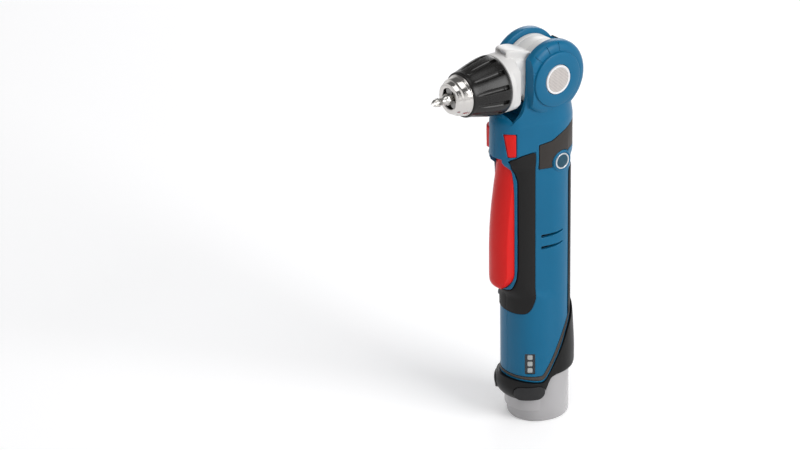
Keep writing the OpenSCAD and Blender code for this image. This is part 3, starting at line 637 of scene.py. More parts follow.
class Graph:
    """Adds nodes to a material's tree."""

    def __init__(self, tree: bpy.types.NodeTree) -> None:
        """Works on one node tree."""
        self.tree = tree

    def node(self, kind: str, *inputs: object, out: int = 0, settings: Optional[dict] = None,
             **named: object) -> Wire:
        """Adds a node.

        Args:
            kind: the node's type.
            inputs: values or wires for its sockets in order.
            out: which output is returned.
            settings: its settings, set first.
            named: values or wires for sockets by name, with _ for a space.

        Returns:
            The wrapped output.
        """
        node = self.tree.nodes.new(kind)
        for key, value in (settings or {}).items():
            setattr(node, key, value)
        sockets = list(zip(node.inputs, inputs)) + [(node.inputs[k.replace("_", " ")], v) for k, v in named.items()]
        for socket, value in sockets:
            if isinstance(value, Wire):
                self.tree.links.new(value.socket, socket)
            elif value is not None:
                socket.default_value = value
        return Wire(self.tree, node.outputs[out])

    def noise(self, place: Wire, scale: float, detail: float) -> Wire:
        """A cloudy value from 0 to 1."""
        return self.node("ShaderNodeTexNoise", place, Scale=scale, Detail=detail, settings={"noise_dimensions": "3D"})

    def parts(self, vector: Wire) -> list[Wire]:
        """A vector's three numbers."""
        node = self.node("ShaderNodeSeparateXYZ", vector).socket.node
        return [Wire(self.tree, output) for output in node.outputs]

    def mix(self, factor: Term, a: Union[Wire, Sequence[float]], b: Union[Wire, Sequence[float]],
            how: str = "MIX") -> Wire:
        """Mixes two colours.

        Args:
            factor: how much of the second.
            a, b: the colours.
            how: the blend type.

        Returns:
            The mixed colour.
        """
        node = self.tree.nodes.new("ShaderNodeMix")
        node.data_type = "RGBA"
        node.blend_type = how
        for index, value in ((0, factor), (6, a), (7, b)):
            if isinstance(value, Wire):
                self.tree.links.new(value.socket, node.inputs[index])
            else:
                node.inputs[index].default_value = value if index == 0 else (*value[:3], 1)
        return Wire(self.tree, node.outputs[2])


class Grain(Enum):
    """The fine texture of a surface."""

    SATIN = "spark eroded"
    RUBBER = "soft rubber"
    CAST = "painted casting"
    TURNED_X = "turned about X"
    TURNED_Z = "turned about Z"
    BRUSHED = "brushed along Z"
    DOTS = "perforated face"
    WIRE = "wound wire"


@dataclass(frozen=True)
class Finish:
    """A surface: its colour, its gloss and its grain."""

    slot: str
    base: Colour
    rough: float = 0.4
    metal: float = 0.0
    coat: float = 0.0
    shine: float = 0.3
    grain: Grain = Grain.SATIN
    size: float = 0.5
    depth: float = 0.02
    mottle: float = 0.06
    # How much lighter the colour is painted along edges: edge wear and a painted highlight.
    edge: float = 0.12
    round_edge: float = 0.25
    glow: float = 0.0
    tag: str = ""

    def material(self) -> bpy.types.Material:
        """The finish's material, made once."""
        name = f"{self.slot}_{self.grain.name.lower()}{self.tag}"
        return bpy.data.materials.get(name) or self.made(name)

    def pattern(self, g: Graph, place: Wire) -> Wire:
        """The grain as a height from 0 to 1.

        Args:
            g: the graph to add to.
            place: the object coordinates.

        Returns:
            The height.
        """
        pitch = 1 / (self.size * MM)
        x, y, z = g.parts(place)
        stretched = {Grain.TURNED_X: (pitch, 0, 0), Grain.TURNED_Z: (0, 0, pitch),
                     Grain.BRUSHED: (pitch, pitch, pitch * 0.04)}.get(self.grain)
        if stretched:
            line = [axis * factor if factor else 0.0 for axis, factor in zip((x, y, z), stretched)]
            return g.noise(g.node("ShaderNodeCombineXYZ", *line), 1.0, 2.0)
        if self.grain is Grain.DOTS:
            wave = (x * (math.pi * pitch)).math("SINE") * (z * (math.pi * pitch)).math("SINE")
            return 1.0 - wave.math("ABSOLUTE").step(0.35, 0.75)
        if self.grain is Grain.WIRE:
            return (z * (math.pi * pitch)).math("SINE").math("ABSOLUTE")
        detail = {Grain.SATIN: 1.0, Grain.RUBBER: 3.0, Grain.CAST: 2.0}[self.grain]
        return g.noise(place, pitch, detail)

    def made(self, name: str) -> bpy.types.Material:
        """Builds the material.

        Args:
            name: the material's name.

        Returns:
            The new material.
        """
        mat = bpy.data.materials.new(name)
        mat.use_nodes = True
        tree = mat.node_tree
        shader = next(n for n in tree.nodes if n.type == "BSDF_PRINCIPLED")
        g = Graph(tree)
        coords = g.node("ShaderNodeTexCoord", out=3)
        height = self.pattern(g, coords)
        cloud = g.noise(coords, 45.0, 2.0)
        soft = g.node("ShaderNodeBevel", self.round_edge * MM, settings={"samples": 4})
        flat = g.node("ShaderNodeNewGeometry", out=1)
        facing = g.node("ShaderNodeVectorMath", soft, flat, out=1, settings={"operation": "DOT_PRODUCT"})
        # Where the rounded normal leaves the face's own, at convex and concave edges alike, the colour is lighter: edge
        # wear and a painted highlight.
        wear_and_highlight = (1.0 - facing).step(0.03, 0.3)
        dark = tuple(c * (1 - self.mottle) for c in self.base)
        light = tuple(min(1.0, c * (1 + self.mottle) + self.mottle * 0.01) for c in self.base)
        pale = tuple(min(1.0, c * (1 + 2 * self.edge) + 0.1 * self.edge) for c in self.base)
        colour = g.mix(cloud, dark, light)
        # The perforations get a darker colour: painted shade in the holes.
        if self.grain is Grain.DOTS:
            colour = g.mix(1.0 - height, colour, tuple(c * 0.42 for c in self.base))
        colour = g.mix(wear_and_highlight, colour, pale)
        tree.links.new(colour.socket, shader.inputs["Base Color"])
        gloss = self.rough * 0.88 + (height * 0.5 + cloud * 0.5) * (self.rough * 0.24)
        tree.links.new((gloss - wear_and_highlight * (self.rough * 0.15)).socket, shader.inputs["Roughness"])
        bump = g.node("ShaderNodeBump", Strength=min(1.0, self.depth * 12), Distance=self.depth * MM,
                      Height=height, Normal=soft)
        tree.links.new(bump.socket, shader.inputs["Normal"])
        for socket, value in (("Metallic", self.metal), ("Specular IOR Level", self.shine), ("Coat Weight", self.coat),
                              ("Coat Roughness", 0.12)):
            shader.inputs[socket].default_value = value
        if self.glow:
            shader.inputs["Emission Color"].default_value = (*self.base, 1)
            shader.inputs["Emission Strength"].default_value = self.glow
        return mat


BLUE = Finish("blue_shell", (0.002, 0.130, 0.262), rough=0.36, shine=0.24, size=0.35, depth=0.012, edge=0.7,
              round_edge=0.32)
RUBBER = Finish("soft_grip", (0.0100, 0.0095, 0.0095), rough=0.62, shine=0.2, grain=Grain.RUBBER, size=0.3,
                depth=0.03, edge=0.5)
BOOT_RUBBER = replace(RUBBER, base=(0.006, 0.006, 0.006), rough=0.42, tag="_boot")
PANEL_DARK = Finish("dark_panel", (0.034, 0.029, 0.026), rough=0.5, shine=0.25, grain=Grain.RUBBER, size=0.4,
                    edge=0.4)
TRIM = Finish("trim_strip", (0.060, 0.048, 0.040), rough=0.42, size=0.3, depth=0.015, edge=0.6)
BADGE = Finish("badge_silver", (0.62, 0.65, 0.68), rough=0.3, metal=0.85, size=0.25, depth=0.01)
WINDOW = Finish("smoked_window", (0.012, 0.016, 0.022), rough=0.12, coat=0.5, depth=0.004)
LAMP = Finish("lamp", (0.42, 0.44, 0.43), rough=0.25, coat=0.3, depth=0.006, mottle=0.3, glow=0.04)
SCREW = Finish("screw_steel", (0.10, 0.10, 0.11), rough=0.35, metal=0.9, size=0.25)
CAP = Finish("light_cap", (0.70, 0.65, 0.62), rough=0.4, grain=Grain.DOTS, size=0.95, depth=0.12)
CAP_RIM = replace(CAP, grain=Grain.SATIN, base=(0.84, 0.84, 0.85), size=0.4, depth=0.01)
CASTING = Finish("head_casting", (0.71, 0.70, 0.685), rough=0.38, grain=Grain.CAST, size=0.45, mottle=0.03)
LENS = Finish("lens", (0.70, 0.72, 0.75), rough=0.1, coat=0.6, depth=0.004)
CHROME = Finish("chuck_steel", (0.62, 0.60, 0.58), rough=0.14, metal=1.0, grain=Grain.TURNED_X, size=0.16,
                depth=0.006, mottle=0.04, edge=0.1)
SLEEVE = Finish("sleeve_black", (0.010, 0.0095, 0.009), rough=0.27, size=0.6, depth=0.015, edge=0.9)
BIT_STEEL = Finish("bit_steel", (0.56, 0.55, 0.53), rough=0.24, metal=1.0, grain=Grain.TURNED_X, size=0.3, depth=0.01)
RED = Finish("red_plastic", (0.74, 0.014, 0.012), rough=0.34, shine=0.18, size=0.35, depth=0.012, edge=0.2)
GREY = Finish("battery_grey", (0.47, 0.46, 0.465), rough=0.22, coat=0.3, size=0.45, depth=0.012, mottle=0.03)
JAW = replace(CHROME, base=(0.24, 0.235, 0.23), rough=0.3, tag="_jaw")
BADGE_FACE = replace(BADGE, base=(0.015, 0.07, 0.11), metal=0.2, rough=0.35, tag="_face")
BLACK = Finish("black_plastic", (0.018, 0.018, 0.019), rough=0.45, size=0.35, edge=0.6)
# The finish of each material slot, for the CAD's own solids.
FINISHES: dict[str, Finish] = {finish.slot: finish for finish in (
    BLACK, BIT_STEEL, CHROME, SCREW, BLUE, RUBBER, PANEL_DARK, TRIM, BADGE, WINDOW, LAMP, CAP_RIM, CASTING, LENS,
    SLEEVE, RED, GREY,
    Finish("bush_bronze", (0.45, 0.28, 0.12), 0.4, 1.0, grain=Grain.CAST, size=0.3),
    Finish("motor_steel", (0.38, 0.38, 0.40), 0.35, 1.0, grain=Grain.TURNED_Z, size=0.3),
    Finish("gear_steel", (0.42, 0.42, 0.44), 0.3, 1.0, grain=Grain.BRUSHED, size=0.3),
    Finish("gear_brass", (0.55, 0.36, 0.12), 0.35, 1.0, grain=Grain.BRUSHED, size=0.3),
    Finish("board_green", (0.02, 0.12, 0.04), 0.3, coat=0.3, size=0.8),
    Finish("copper", (0.55, 0.22, 0.08), 0.35, 1.0, grain=Grain.WIRE, size=0.4, depth=0.1),
    Finish("fan_plastic", (0.25, 0.26, 0.27), 0.45),
    Finish("bearing_steel", (0.62, 0.62, 0.64), 0.15, 1.0, grain=Grain.TURNED_X, size=0.2),
    Finish("spring_steel", (0.5, 0.5, 0.52), 0.3, 1.0, grain=Grain.BRUSHED, size=0.2),
    Finish("switch_white", (0.75, 0.75, 0.72), 0.5),
    Finish("cell_wrap", (0.02, 0.08, 0.35), 0.2, coat=0.5, grain=Grain.TURNED_Z, size=2.0))}


# ---------------------------------------------------------------- sub-assemblies


@dataclass
class Shell:
    """The two moulded halves of the handle with the hinge ears."""

    wall: float = 2.2
    shoulder: float = 215.5
    ear_r: float = 23.9
    ear_in: float = 10.2
    ear_out: float = 18.1
    drum_r: float = 20.7
    gap: float = 0.3
    grip_depth: float = 0.7
    tick: float = 0.55
    seam_half: float = 0.16
    wall_low: float = 143.5  # where the wall behind the drum starts, in degrees about the hinge from +X

    def dome(self) -> Solid:
        """The handle's outside, with the rounded top of the nose.

        Returns:
            The closed solid.
        """
        heights = [21 + 2 * i for i in range(94)]
        rings = [between(HANDLE, z).ring(z) for z in heights]
        rise = self.shoulder - 207.5
        for i in range(9):
            t = math.sin(math.radians(10 * i + 10))
            shrink = -8.5 * (1 - math.sqrt(max(0.0, 1 - t * t)))
            rings.append(TOP.grow(shrink).ring(207.5 + rise * t))
        return Bench.loft("shell", rings)

    def shoulder_rise(self) -> Solid:
        """The body behind and beside the drum, with the hollow that runs down to the nose.

        Returns:
            The closed solid.
        """
        keys = [(198, TOP), (206, TOP), (216, TOP.grow(-1.2)), (226, TOP.grow(-3.0)), (240, TOP.grow(-4.5))]
        rise = Bench.handle("rise", keys, 198, 238)
        edge = curved([(30.5, 209.0), (27.2, 212.6), (23.6, 215.6), (20.8, 219.8), (19, 226), (18, 236)])
        return Bench.keep(rise, Bench.across("edge", [(-40, 199), (30.5, 199), *edge, (-40, 236)]))

    def ear(self, side: int) -> Solid:
        """One hinge ear with its angle marks.

        Args:
            side: 1 for the left ear and -1 for the right.

        Returns:
            The ear.
        """
        r, i, o = self.ear_r, self.ear_in, self.ear_out
        profile = [(0, i), (r - 1, i), (r - 0.3, i + 0.35), (r, i + 1.2), (r, i + 4), (r - 0.25, i + 4.9),
                   (r - 0.8, o - 2.1), (r - 1.4, o - 1.4), (r - 2.3, o - 0.75), (19.4, o - 0.1), (18.6, o), (0, o)]
        ear = Bench.turned("ear", sided(profile, side), Axis.Y, 128)
        for degrees in (1, 24, 49, 73, 96):
            turn = math.radians(degrees)
            half = self.tick / 2
            box = Bench.outline("tick", oblong(17.8, -half, r + 2, half), View.SIDE, side * (o - 2.4), side * (o + 3))
            box.data.transform(Matrix.Rotation(-turn, 4, "Y"))
            box.data.transform(Matrix.Translation((0, 0, PIVOT * MM)))
            slot = Bench.turned("core", [(a - 0.35, side * (b - (0.35 if b > i + 1 else 0))) for a, b in profile if a]
                                + [(0, side * (o - 0.35)), (0, side * i)], Axis.Y, 64)
            Bench.cut(box, slot)
            Bench.cut(ear, box)
        return Bench.keep(ear, Bench.across("end", oblong(-60, 207, 18, 300)))

    def back_wall(self, radius: float, low: float, high: float) -> Solid:
        """A piece of the wall behind the drum.

        Args:
            radius: its outside.
            low, high: its ends as angles about the hinge from +X.

        Returns:
            The solid, down to the hinge axis.
        """
        rim = [(x, z + PIVOT) for x, z in arc(0, 0, radius, low, high, 24)]
        return Bench.outline("wall", [(0, PIVOT), *rim], View.SIDE, -self.ear_in - 0.01, self.ear_in + 0.01)

    def cavity(self) -> list[Solid]:
        """What is hollow inside the shell.

        Returns:
            The solids to cut away.
        """
        i = self.ear_in
        tools = [Bench.handle("room", HANDLE, 9, 206, -self.wall, 6),
                 Bench.turned("tube", rod(11.6, 200, 230), Axis.Z, 64, (0, 0, 0)),
                 Bench.turned("drum_room", rod(self.drum_r + 0.4, -i, i), Axis.Y),
                 Bench.across("front_room", oblong(0, 217.5, 60, 280), i),
                 Bench.across("pocket", rounded([(12, 209.4), (27, 209.4), (29.6, 216), (29.6, 222), (12, 222)], 2.4),
                              i)]
        return tools + [Bench.turned("bush_room", rod(9.6, side * 5, side * 40), Axis.Y, 64) for side in (1, -1)]

    def recesses(self) -> list[Solid]:
        """The seats of the grips, the panel, the rear strip, the band and the boot.

        Returns:
            The solids to cut away.
        """
        grip = Bench.across("seat", rounded(GRIP, 1.4), 30)
        Bench.cut(grip, Bench.handle("core", HANDLE, 70, 200, -self.grip_depth))
        panel = Bench.across("seat", rounded(PANEL, 0.8), 30)
        Bench.cut(panel, PanelStrip.core(170, 212, -1))
        strip = RearStrip.solid(2)
        Bench.cut(strip, Bench.handle("core", HANDLE, 50, 180, -self.grip_depth))
        boot = Bench.across("seat", [*BLUE_EDGE, (-30, 10), (40, 10)])
        core = Bench.handle("core", HANDLE, 22, 92, -1)
        Bench.cut(core, Bench.across("under", [*lifted(FOOT_EDGE, 2.5), (-30, 0), (40, 0)]))
        return [grip, panel, strip, Bench.cut(boot, core)]

    def openings(self) -> list[Solid]:
        """The openings of the trigger, switch, battery buttons, lamps and slots.

        Returns:
            The solids to cut away.
        """
        tools = [Trigger.mouth(),
                 Bench.across("switch_hole", rounded(grown(DirectionSwitch.outline, 0.45), 0.7), 30)]
        for side in (1, -1):
            tools.append(BatteryButton.pad(self.gap, side))
            for z in (132, 124):
                top = curved([(11, z + 1.2), (6, z + 1.3), (0, z + 1.6), (-4.3, z + 2.1)])
                low = curved([(-4.3, z + 1.1), (0, z + 0.0), (6, z - 0.8), (11, z - 1.1)])
                tools.append(Bench.outline("vent", rounded(top + low, 0.4, 2), View.SIDE, side * 14, side * 30))
        tools.append(Gauge.block(0.12, 10, 30))
        return tools

    def seam(self) -> Solid:
        """The thin joint between the halves, cut into the skin only.

        Returns:
            The solid to cut away.
        """
        slab = Bench.across("slab", oblong(-60, 5, 80, 300), self.seam_half)
        core = Bench.handle("core", HANDLE, 1, 206, -0.5)
        rings = [TOP.grow(g).ring(z) for z, g in ((200, -0.5), (209, -1.2), (212, -3.2), (214.8, -8))]
        Bench.join(core, Bench.loft("nose", rings), self.back_wall(self.ear_r - 0.5, self.wall_low, 260))
        return Bench.cut(slab, core)

    def screw_seats(self) -> list[Solid]:
        """The counterbores of the housing screws, on the right.

        Returns:
            The solids to cut away.
        """
        seats = []
        for x, z, seat in Screws.places:
            profile = [(0, -seat + 1.8), (3.0, -seat + 1.8), (3.0, -seat - 0.6), (3.5, -30), (0, -30)]
            seats.append(Bench.turned("seat", profile, Axis.Y, 48, (x, 0, z)))
        return seats

    def build(self) -> None:
        """Makes both halves."""
        shell = self.dome()
        Bench.join(shell, self.shoulder_rise(), self.ear(1), self.ear(-1),
                   self.back_wall(self.ear_r, self.wall_low, 230))
        for side in (1, -1):
            Bench.join(shell, Badge.boss(side))
        Bench.cut(shell, *self.cavity(), *self.recesses(), *self.openings(), self.seam())
        for name, side in SIDES:
            half = Bench.copy(shell, f"shell_{name}", Matrix.Identity(4))
            Bench.keep(half, Bench.outline("half", oblong(-60, 0, 80, 300), View.SIDE, side * 0.03, side * 60))
            if side < 0:
                Bench.cut(half, *self.screw_seats())
            Bench.piece(half, BLUE, "handle", f"housing_{name}")
        bpy.data.objects.remove(shell)
        # A black strip along the top edge of the wall behind the drum, between the ears.
        dark_rim = self.back_wall(self.ear_r + 0.8, self.wall_low, self.wall_low + 7)
        Bench.cut(dark_rim, self.back_wall(self.ear_r - 0.4, 130, 170))
        Bench.keep(dark_rim, Bench.across("room", oblong(-60, 200, 80, 300), self.ear_in - 0.1))
        Bench.piece(Bench.ease(dark_rim, 0.3), BLACK, "handle").name = "rim_strip"


@dataclass
class Grips:
    """The soft grips on both sides of the handle, joined under the trigger."""

    proud: float = 0.5
    depth: float = 0.7
    groove: float = 0.6

    def build(self) -> None:
        """Makes both grips."""
        for name, side in SIDES:
            grip = Bench.handle(f"rubber_{name}", HANDLE, 72, 196, self.proud)
            Bench.cut(grip, Bench.handle("core", HANDLE, 60, 200, -self.depth))
            shape = rounded(grown(GRIP, -self.groove), 1.6)
            Bench.keep(grip, Bench.outline("shape", shape, View.SIDE, side * 0.04, side * 40))
            Bench.cut(grip, Trigger.mouth(0.25))
            if side < 0:
                Bench.cut(grip, *Screws.bores())
            Bench.piece(Bench.ease(grip, 0.28), RUBBER, "handle", f"grip_{name}")


@dataclass
class RearStrip:
    """The rubber strip along the back of the handle."""

    proud: float = 0.5
    depth: float = 0.7

    @staticmethod
    def solid(by: float, groove: float = 0) -> Solid:
        """The strip's place, with its outside grown.

        Args:
            by: how far the outside is grown.
            groove: how far the sides are drawn in.

        Returns:
            The solid.
        """
        strip = Bench.handle("strip", [(55, LOW), (185, LOW)], 60 + groove, 173 - groove, by, 20)
        side = [(-30, 60), (-10.2 - groove, 60), (-10.2 - groove, 171), (-11.5 - groove, 173), (-30, 173)]
        Bench.keep(strip, Bench.across("box", side, 30))
        return Bench.cut(strip, Bench.across("band", belt(lifted(BLUE_EDGE, groove), lifted(BLUE_EDGE, -60)), 30))

    def build(self) -> None:
        """Makes the strip."""
        strip = self.solid(self.proud, 0.5)
        Bench.cut(strip, Bench.handle("core", HANDLE, 50, 180, -self.depth), *Screws.bores())
        strip.name = "rear_rubber"
        Bench.piece(Bench.ease(strip, 0.28), RUBBER, "handle", "rear_grip")


@dataclass
class PanelStrip:
    """The matt panel round the handle's back below the hinge."""

    section: Egg = Egg(20.1, -1.5, 14.5, 17.3)
    groove: float = 0.6

    @classmethod
    def core(cls, low: float, high: float, by: float) -> Solid:
        """A straight length of the panel's section, grown by a distance."""
        return Bench.handle("core", [(170, cls.section), (212, cls.section)], low, high, by, 20)

    def build(self) -> None:
        """Makes the panel."""
        panel = self.core(172, 210, 0.3)
        panel.name = "back_panel"
        Bench.keep(panel, Bench.across("shape", rounded(grown(PANEL, -self.groove), 0.8), 30))
        Bench.cut(panel, self.core(168, 214, -1))
        for side in (1, -1):
            Bench.cut(panel, Bench.turned("disc", rod(7.1, side * 10, side * 40), Axis.Y, 64, Badge.centre))
        Bench.cut(panel, *Screws.bores())
        Bench.piece(Bench.ease(panel, 0.25), PANEL_DARK, "handle", "rear_panel")


@dataclass
class Badge:
    """The two bare round discs on their bosses."""

    centre: Spot = (-3, 0, 181)
    radius: float = 5.3

    @classmethod
    def boss(cls, side: int) -> Solid:
        """The raised seat of one disc, with a rounded rim."""
        profile = [(0, 14), (6.8, 14), (6.8, 19.9), (6.5, 20.3), (5.9, 20.4), (5.6, 20.1), (5.45, 19.7), (0, 19.7)]
        return Bench.turned("boss", sided(profile, side), Axis.Y, 64, cls.centre)

    def build(self) -> None:
        """Makes both discs."""
        r = self.radius
        profile = [(0, 19.6), (r, 19.6), (r, 20.3), (r - 0.25, 20.6), (r - 0.85, 20.6), (r - 1.05, 20.3), (0, 20.3)]
        middle = [(0, 20.2), (r - 1.1, 20.2), (r - 1.1, 20.4), (r - 1.3, 20.5), (1.6, 20.58), (1.5, 20.5), (1.2, 20.5),
                  (1.1, 20.58), (0, 20.6)]
        for name, side in SIDES:
            disc = Bench.turned(f"badge_{name}", sided(profile, side), Axis.Y, 64, self.centre)
            Bench.piece(disc, BADGE, "handle", *(["badges"] if side > 0 else []))
            face = Bench.turned(f"badge_face_{name}", sided(middle, side), Axis.Y, 64, self.centre)
            Bench.piece(face, BADGE_FACE, "handle")


@dataclass
class Tail:
    """The rubber boot round the handle's end and the slim band above it."""

    wall: float = 2.2

    def build(self) -> None:
        """Makes the boot and the band."""
        boot = Bench.handle("boot", BOOT, 17, 95, 0, 1.5)
        Bench.keep(boot, Bench.across("shape", belt(lifted(BOOT_EDGE, -0.3), FOOT_EDGE)))
        core = Bench.handle("core", HANDLE, 22, 96, -0.95)
        Bench.cut(core, Bench.across("under", [*lifted(FOOT_EDGE, 2.45), (-30, 0), (40, 0)]))
        Bench.cut(boot, core, Bench.handle("room", HANDLE, 9, 100, -self.wall, 6))
        for side in (1, -1):
            Bench.cut(boot, BatteryButton.pad(0.3, side))
        Bench.piece(Bench.ease(boot, 0.45, 3), BOOT_RUBBER, "handle", "tail_boot")
        for name, proud, top, bottom, soft, finish, nodes in (
                ("band", 0.35, lifted(BLUE_EDGE, -0.45), lifted(BOOT_EDGE, 1.35), 0.25, TRIM, ["trim_band"]),
                ("piping", 0.3, lifted(BOOT_EDGE, 1.0), lifted(BOOT_EDGE, 0.1), 0.2, BLUE, [])):
            band = Bench.handle(name, HANDLE, 20, 95, proud)
            Bench.keep(band, Bench.across("shape", belt(top, bottom)))
            Bench.cut(band, Bench.handle("core", HANDLE, 15, 100, -0.95))
            Bench.piece(Bench.ease(band, soft), finish, "handle", *nodes)


@dataclass
class BatteryButton:
    """The two oval buttons that free the battery."""

    turn: float = 48.0
    height: float = 23.6

    @classmethod
    def pad(cls, by: float, side: int) -> Solid:
        """A button's oval block, standing out of the handle's axis.

        Args:
            by: how far its outline is grown.
            side: 1 for left and -1 for right.

        Returns:
            The block.
        """
        pad = Bench.outline("pad", oval(5.4, 4.6 + by, 16), View.FRONT, 8, 40)
        pad.data.transform(Matrix.Rotation(math.radians(side * cls.turn), 4, "Z"))
        pad.data.transform(Matrix.Translation((5.6 * MM, 0, cls.height * MM)))
        return pad

    def build(self) -> None:
        """Makes both buttons."""
        for name, side in SIDES:
            pad = self.pad(0.0, side)
            pad.name = f"battery_latch_{name}"
            keys = [(z, Egg(20.6, -0.8, r, x)) for z, r, x in ((10, 20.2, 7.2), (20, 20.3, 8.4), (26, 20.5, 9.2),
                                                               (34, 20.4, 7.4))]
            Bench.keep(pad, Bench.handle("skin", keys, 12, 33, 0.15, 1.5))
            Bench.cut(pad, Bench.handle("core", HANDLE, 10, 60, -0.6, 6))
            Bench.piece(Bench.ease(pad, 0.5, 3), BLACK, f"battery_button_{name}", f"battery_button_{name}")


@dataclass
class Gauge:
    """The battery gauge: a smoked window with three lamps."""

    turn: float = 49.2
    height: float = 43.6
    pitch: float = 4.6

    @classmethod
    def block(cls, by: float, start: float, end: float, width: float = 6.4, length: float = 14.4,
              up: float = 0) -> Solid:
        """A block that points out of the handle at the gauge.

        Args:
            by: how far its sides are grown.
            start, end: its ends from the front arc's middle.
            width, length: its size.
            up: how far it is raised.

        Returns:
            The block.
        """
        w, h = width / 2 + by, length / 2 + by
        box = Bench.outline("window", rounded(oblong(-w, up - h, w, up + h), 0.8), View.FRONT, start, end)
        box.data.transform(Matrix.Rotation(math.radians(cls.turn), 4, "Z"))
        box.data.transform(Matrix.Translation((5.6 * MM, 0, cls.height * MM)))
        return box

    def build(self) -> None:
        """Makes the window and its lamps."""
        window = self.block(0, 16.9, 18.75)
        window.name = "gauge_glass"
        for k in (-1, 0, 1):
            Bench.cut(window, self.block(0, 17.6, 30, 3.6, 3.7, self.pitch * k))
        Bench.piece(Bench.ease(window, 0.15), WINDOW, "handle", "gauge_window")
        for k, name in ((-1, "low"), (0, "mid"), (1, "high")):
            lamp = self.block(0, 17.3, 18.95, 3.3, 3.4, self.pitch * k)
            lamp.name = f"gauge_lamp_{name}"
            Bench.piece(Bench.ease(lamp, 0.35, 3), LAMP, "handle", *(["gauge_leds"] if k < 0 else []))


@dataclass
class Screws:
    """The housing screws, with star sockets."""

    head_r: float = 2.75

    # Each screw's x, z and how far out of the middle plane its head lies.
    places: tuple[Spot, ...] = ((19.5, 86.0, 12.6), (-14.0, 104.5, 13.5), (21.6, 176.5, 12.0), (-15.7, 203.3, 13.3),
                                (17.6, 203.3, 13.6))

    @classmethod
    def bores(cls) -> list[Solid]:
        """The bores over the screws, through whatever covers them on the right."""
        return [Bench.turned("seat", rod(3, -5, -40), Axis.Y, 48, (x, 0, z)) for x, z, _ in cls.places]

    def build(self) -> None:
        """Makes the screws."""
        for k, (x, z, seat) in enumerate(self.places):
            r = self.head_r
            profile = [(0, -seat + 1.8), (r, -seat + 1.8), (r, -seat + 0.35), (r - 0.35, -seat), (0, -seat)]
            screw = Bench.turned(f"screw_{k + 1}", profile, Axis.Y, 48, (x, 0, z))
            star = [(x + reach * math.cos(math.pi * i / 6), z + reach * math.sin(math.pi * i / 6))
                    for i, reach in enumerate((1.0, 1.35) * 6)]
            Bench.cut(screw, Bench.outline("star", star, View.SIDE, -seat - 1, -seat + 1.1))
            Bench.piece(Bench.ease(screw, 0.08), SCREW, "handle", *(["housing_screws"] if k == 0 else []))


@dataclass
class Hinge:
    """The hinge covers, the cap on the right and the release button on the left."""

    cover_r: float = 17.5
    button_r: float = 9.3
    ear_out: float = 18.1
    thick: float = 1.6

    def build(self) -> None:
        """Makes the covers, the cap and the button."""
        o, t, b, c = self.ear_out, self.thick, self.button_r, self.cover_r
        cover = [(b + 0.3, o - 0.1), (c, o - 0.1), (c, o + t - 0.75), (c - 0.25, o + t - 0.3), (c - 0.8, o + t),
                 (b + 1.0, o + t), (b + 0.55, o + t - 0.1), (b + 0.3, o + t - 0.4)]
        for name, side in SIDES:
            Bench.piece(Bench.turned(f"cover_{name}", sided(cover, side), Axis.Y, 128), BLUE, "handle",
                        f"hinge_cover_{name}")
        top = o + t + 0.4
        rim = [(b - 1.4, top - 1.4), (b, top - 1.4), (b, top - 0.5), (b - 0.2, top - 0.12), (b - 0.6, top),
               (b - 0.85, top - 0.05), (b - 1.1, top - 0.25), (b - 1.4, top - 0.25)]
        face = [(0, top - 1.15), (b - 1.4, top - 1.15), (b - 1.4, top - 0.27), (0, top - 0.12)]
        for name, side, body, node in (("button", 1, "release_button", "release_button"),
                                       ("cap", -1, "handle", "hinge_cap")):
            inner = 17.5 if side > 0 else 15.8
            skirt = [(b - 2.3, inner), (b, inner), (b, top - 1.4), (b - 2.3, top - 1.4)]
            ring = Bench.turned(f"{name}_rim", sided(rim, side), Axis.Y, 96)
            Bench.join(ring, Bench.turned("skirt", sided(skirt, side), Axis.Y, 96))
            Bench.piece(ring, CAP_RIM, body, node)
            Bench.piece(Bench.turned(f"{name}_face", sided(face, side), Axis.Y, 96), CAP, body)


